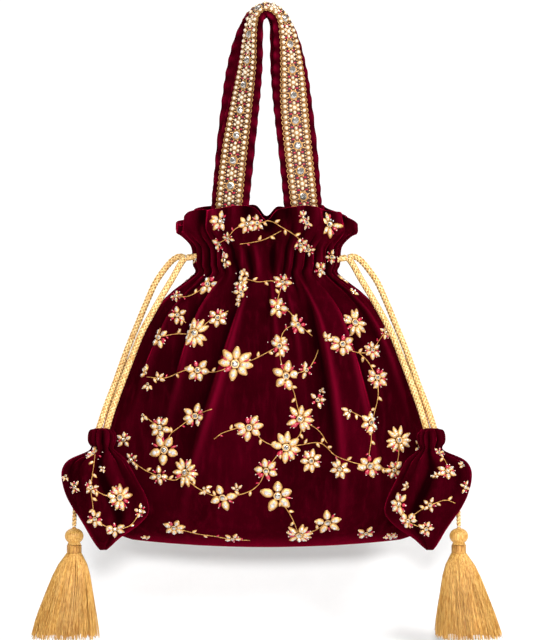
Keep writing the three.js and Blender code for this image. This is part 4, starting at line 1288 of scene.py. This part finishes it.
def thread_faces(routes, radius, sides=5, pitch=2.4, step=0.55):
    """Thin twisted thread along several routes, joined into one mesh."""
    points, faces, count = [], [], 0
    for route in routes:
        even = smooth_route(route, step)
        angle = circle(sides)[None, :] + TURN * np.arange(len(even))[:, None] * step / pitch
        swell = radius * (1 + 0.28 * (np.arange(sides) % 2))[None, :]
        points.append(rings_round(even, swell, angle).reshape(-1, 3))
        faces.append(grid_faces(len(even), sides)[:, ::-1] + count)
        count += len(even) * sides
    return np.vstack(points), np.vstack(faces)


def sew(target, flowers, vines, body, tag, both_faces, seed):
    """Makes the pieces of a pattern, one for each kind of small part and one for the vines."""
    parts, routes = embroider(target, flowers, vines, seed)
    if both_faces:
        parts = {kind: places + half_turned_places(places) for kind, places in parts.items()}
        routes = routes + [half_turned(route) for route in routes]
    for kind, places in parts.items():
        shape, finish = EMBROIDERY[kind]
        faceted = kind in ("centres", "petal_stones")
        set_out(f"{tag}_{kind}", shape, places, finish, smooth=not faceted, body=body)
    points, faces = thread_faces(routes, THREAD)
    vine_piece = new_mesh(f"{tag}_vines", points * MM, faces, gold_thread)
    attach(vine_piece, body)
    print(tag, {kind: len(places) for kind, places in parts.items()}, "vines:", len(routes))


sew(bag, BAG_FLOWERS, BAG_VINES, "bag", "bag_embroidery", True, 3)
for side_name in SIDES:
    sew(pouches[side_name], POUCH_FLOWERS[side_name], POUCH_VINES[side_name], f"small_pouch_{side_name}",
        f"pouch_embroidery_{side_name}", False, 5)

# %% [markdown]
# The set is one sheet of pale paper. It lies just under the tassels and rises close behind them, as a sweep
# does in a studio, so that the bag's shadow falls low behind it. Away from the shadow the paper glows white,
# only for rays that come from the camera, so it adds no light to the bag. Near the shadow the glow is weak
# and the paper's own colour shows. From behind, the sheet is clear to the camera, or it would hide the bag's
# back.

# %% Paper sweep
FLOOR_Z = -431.5 * MM
SWEEP, SWEEP_BEND = 1.3, 0.0127
GLOW, NEAR_GLOW = 1.1, 0.28
WHITE = (1, 1, 1, 1)
depth = np.concatenate([[-1.6, -0.4], np.linspace(0, 0.2, 21), np.linspace(0.25, 1.2, 20), [1.8, 2.6]])
back = np.maximum(depth, 0)
climbing = FLOOR_Z + SWEEP * back ** 2 / (back + SWEEP_BEND)
sheet = np.array([[(x, y, z) for x in (-3.0, 3.0)] for y, z in zip(depth, climbing)])
floor = new_mesh("floor", sheet.reshape(-1, 3), grid_faces(len(depth), 2, closed=False))
paper = Finish("pale_paper", Specular_IOR_Level=0.1)
shade = paper.mix(paper.noise(300, 3.0), (0.83, 0.83, 0.83, 1), (0.86, 0.86, 0.86, 1))
paper.feed(Base_Color=shade, Roughness=paper.noise(40) * 0.1 + 0.85)
seen = paper.node("ShaderNodeLightPath", output="Is Camera Ray")
behind = paper.node("ShaderNodeNewGeometry", output="Backfacing")
glow = paper.node("ShaderNodeEmission", inputs={"Color": WHITE, "Strength": GLOW})
oval = paper.node("ShaderNodeVectorMath", {"operation": "MULTIPLY_ADD"},
                  {0: paper.places, 1: (6.6, 6.5, 6.5), 2: (-0.1, -0.2, 2.6)})
away = paper.node("ShaderNodeVectorMath", {"operation": "LENGTH"}, {0: oval}, "Value")
in_shadow = 1 - paper.band(away, 0.7, 1.25)
share = seen * (1 - in_shadow * (1 - NEAR_GLOW))
plain = Value(paper, paper.shader.outputs[0])
blend = paper.node("ShaderNodeMixShader", inputs={0: share, 1: plain, 2: glow})
clear = paper.node("ShaderNodeBsdfTransparent")
either_face = paper.node("ShaderNodeMixShader", inputs={0: seen * behind, 1: blend, 2: clear})
paper.show(either_face, "Material Output")
floor.data.materials.append(paper.material)
print("floor at", round(FLOOR_Z / MM, 1), "mm")

# %% [markdown]
# The world is a weak warm light from all round, which fills the folds. To the camera, and through anything
# clear, it looks white.

# %% World
world = bpy.data.worlds.new("studio")
bpy.context.scene.world = world
world.use_nodes = True
world.node_tree.nodes.remove(world.node_tree.nodes["Background"])
studio = Nodes(world.node_tree)
fill = studio.node("ShaderNodeBackground", inputs={"Color": (1, 0.93, 0.87, 1), "Strength": 0.2})
white = studio.node("ShaderNodeBackground", inputs={"Color": WHITE, "Strength": 1.0})
seen = studio.node("ShaderNodeLightPath", output="Is Camera Ray")
through = studio.node("ShaderNodeLightPath", output="Is Transmission Ray")
either = seen.maths("MAXIMUM", seen, through)
studio.show(studio.node("ShaderNodeMixShader", inputs={0: either, 1: fill, 2: white}), "World Output")
print("world nodes:", len(world.node_tree.nodes))

# %% [markdown]
# A large soft lamp high on the right is the key, and gives each fold its light and its shade. One in front,
# near the camera's height, shows the goldwork. One above lights the frill and drops the shadow, and one from
# behind on the left draws the light edge that velvet has. All are round, so that the beads show round
# lights.

# %% Lamps
def lamp(name, place, aim, size, power):
    data = bpy.data.lights.new(name, "AREA")
    data.shape, data.size, data.energy = "DISK", size, power
    lamp_object = bpy.data.objects.new(name, data)
    lamp_object.location = place
    lamp_object.rotation_euler = (Vector(aim) - Vector(place)).to_track_quat("-Z", "Y").to_euler()
    bpy.context.scene.collection.objects.link(lamp_object)


lamp("key", (1.05, -1.0, 0.8), (0, 0, -0.24), 0.6, 20)
lamp("front", (0.05, -1.6, 0.2), (0, 0.05, -0.28), 0.35, 25)
lamp("top", (-0.15, -0.2, 1.4), (0, 0.05, -0.3), 0.9, 9)
lamp("edge", (-0.9, 0.9, 0.7), (0, 0, -0.22), 0.6, 12)
bpy.context.scene.view_settings.view_transform = "Standard"
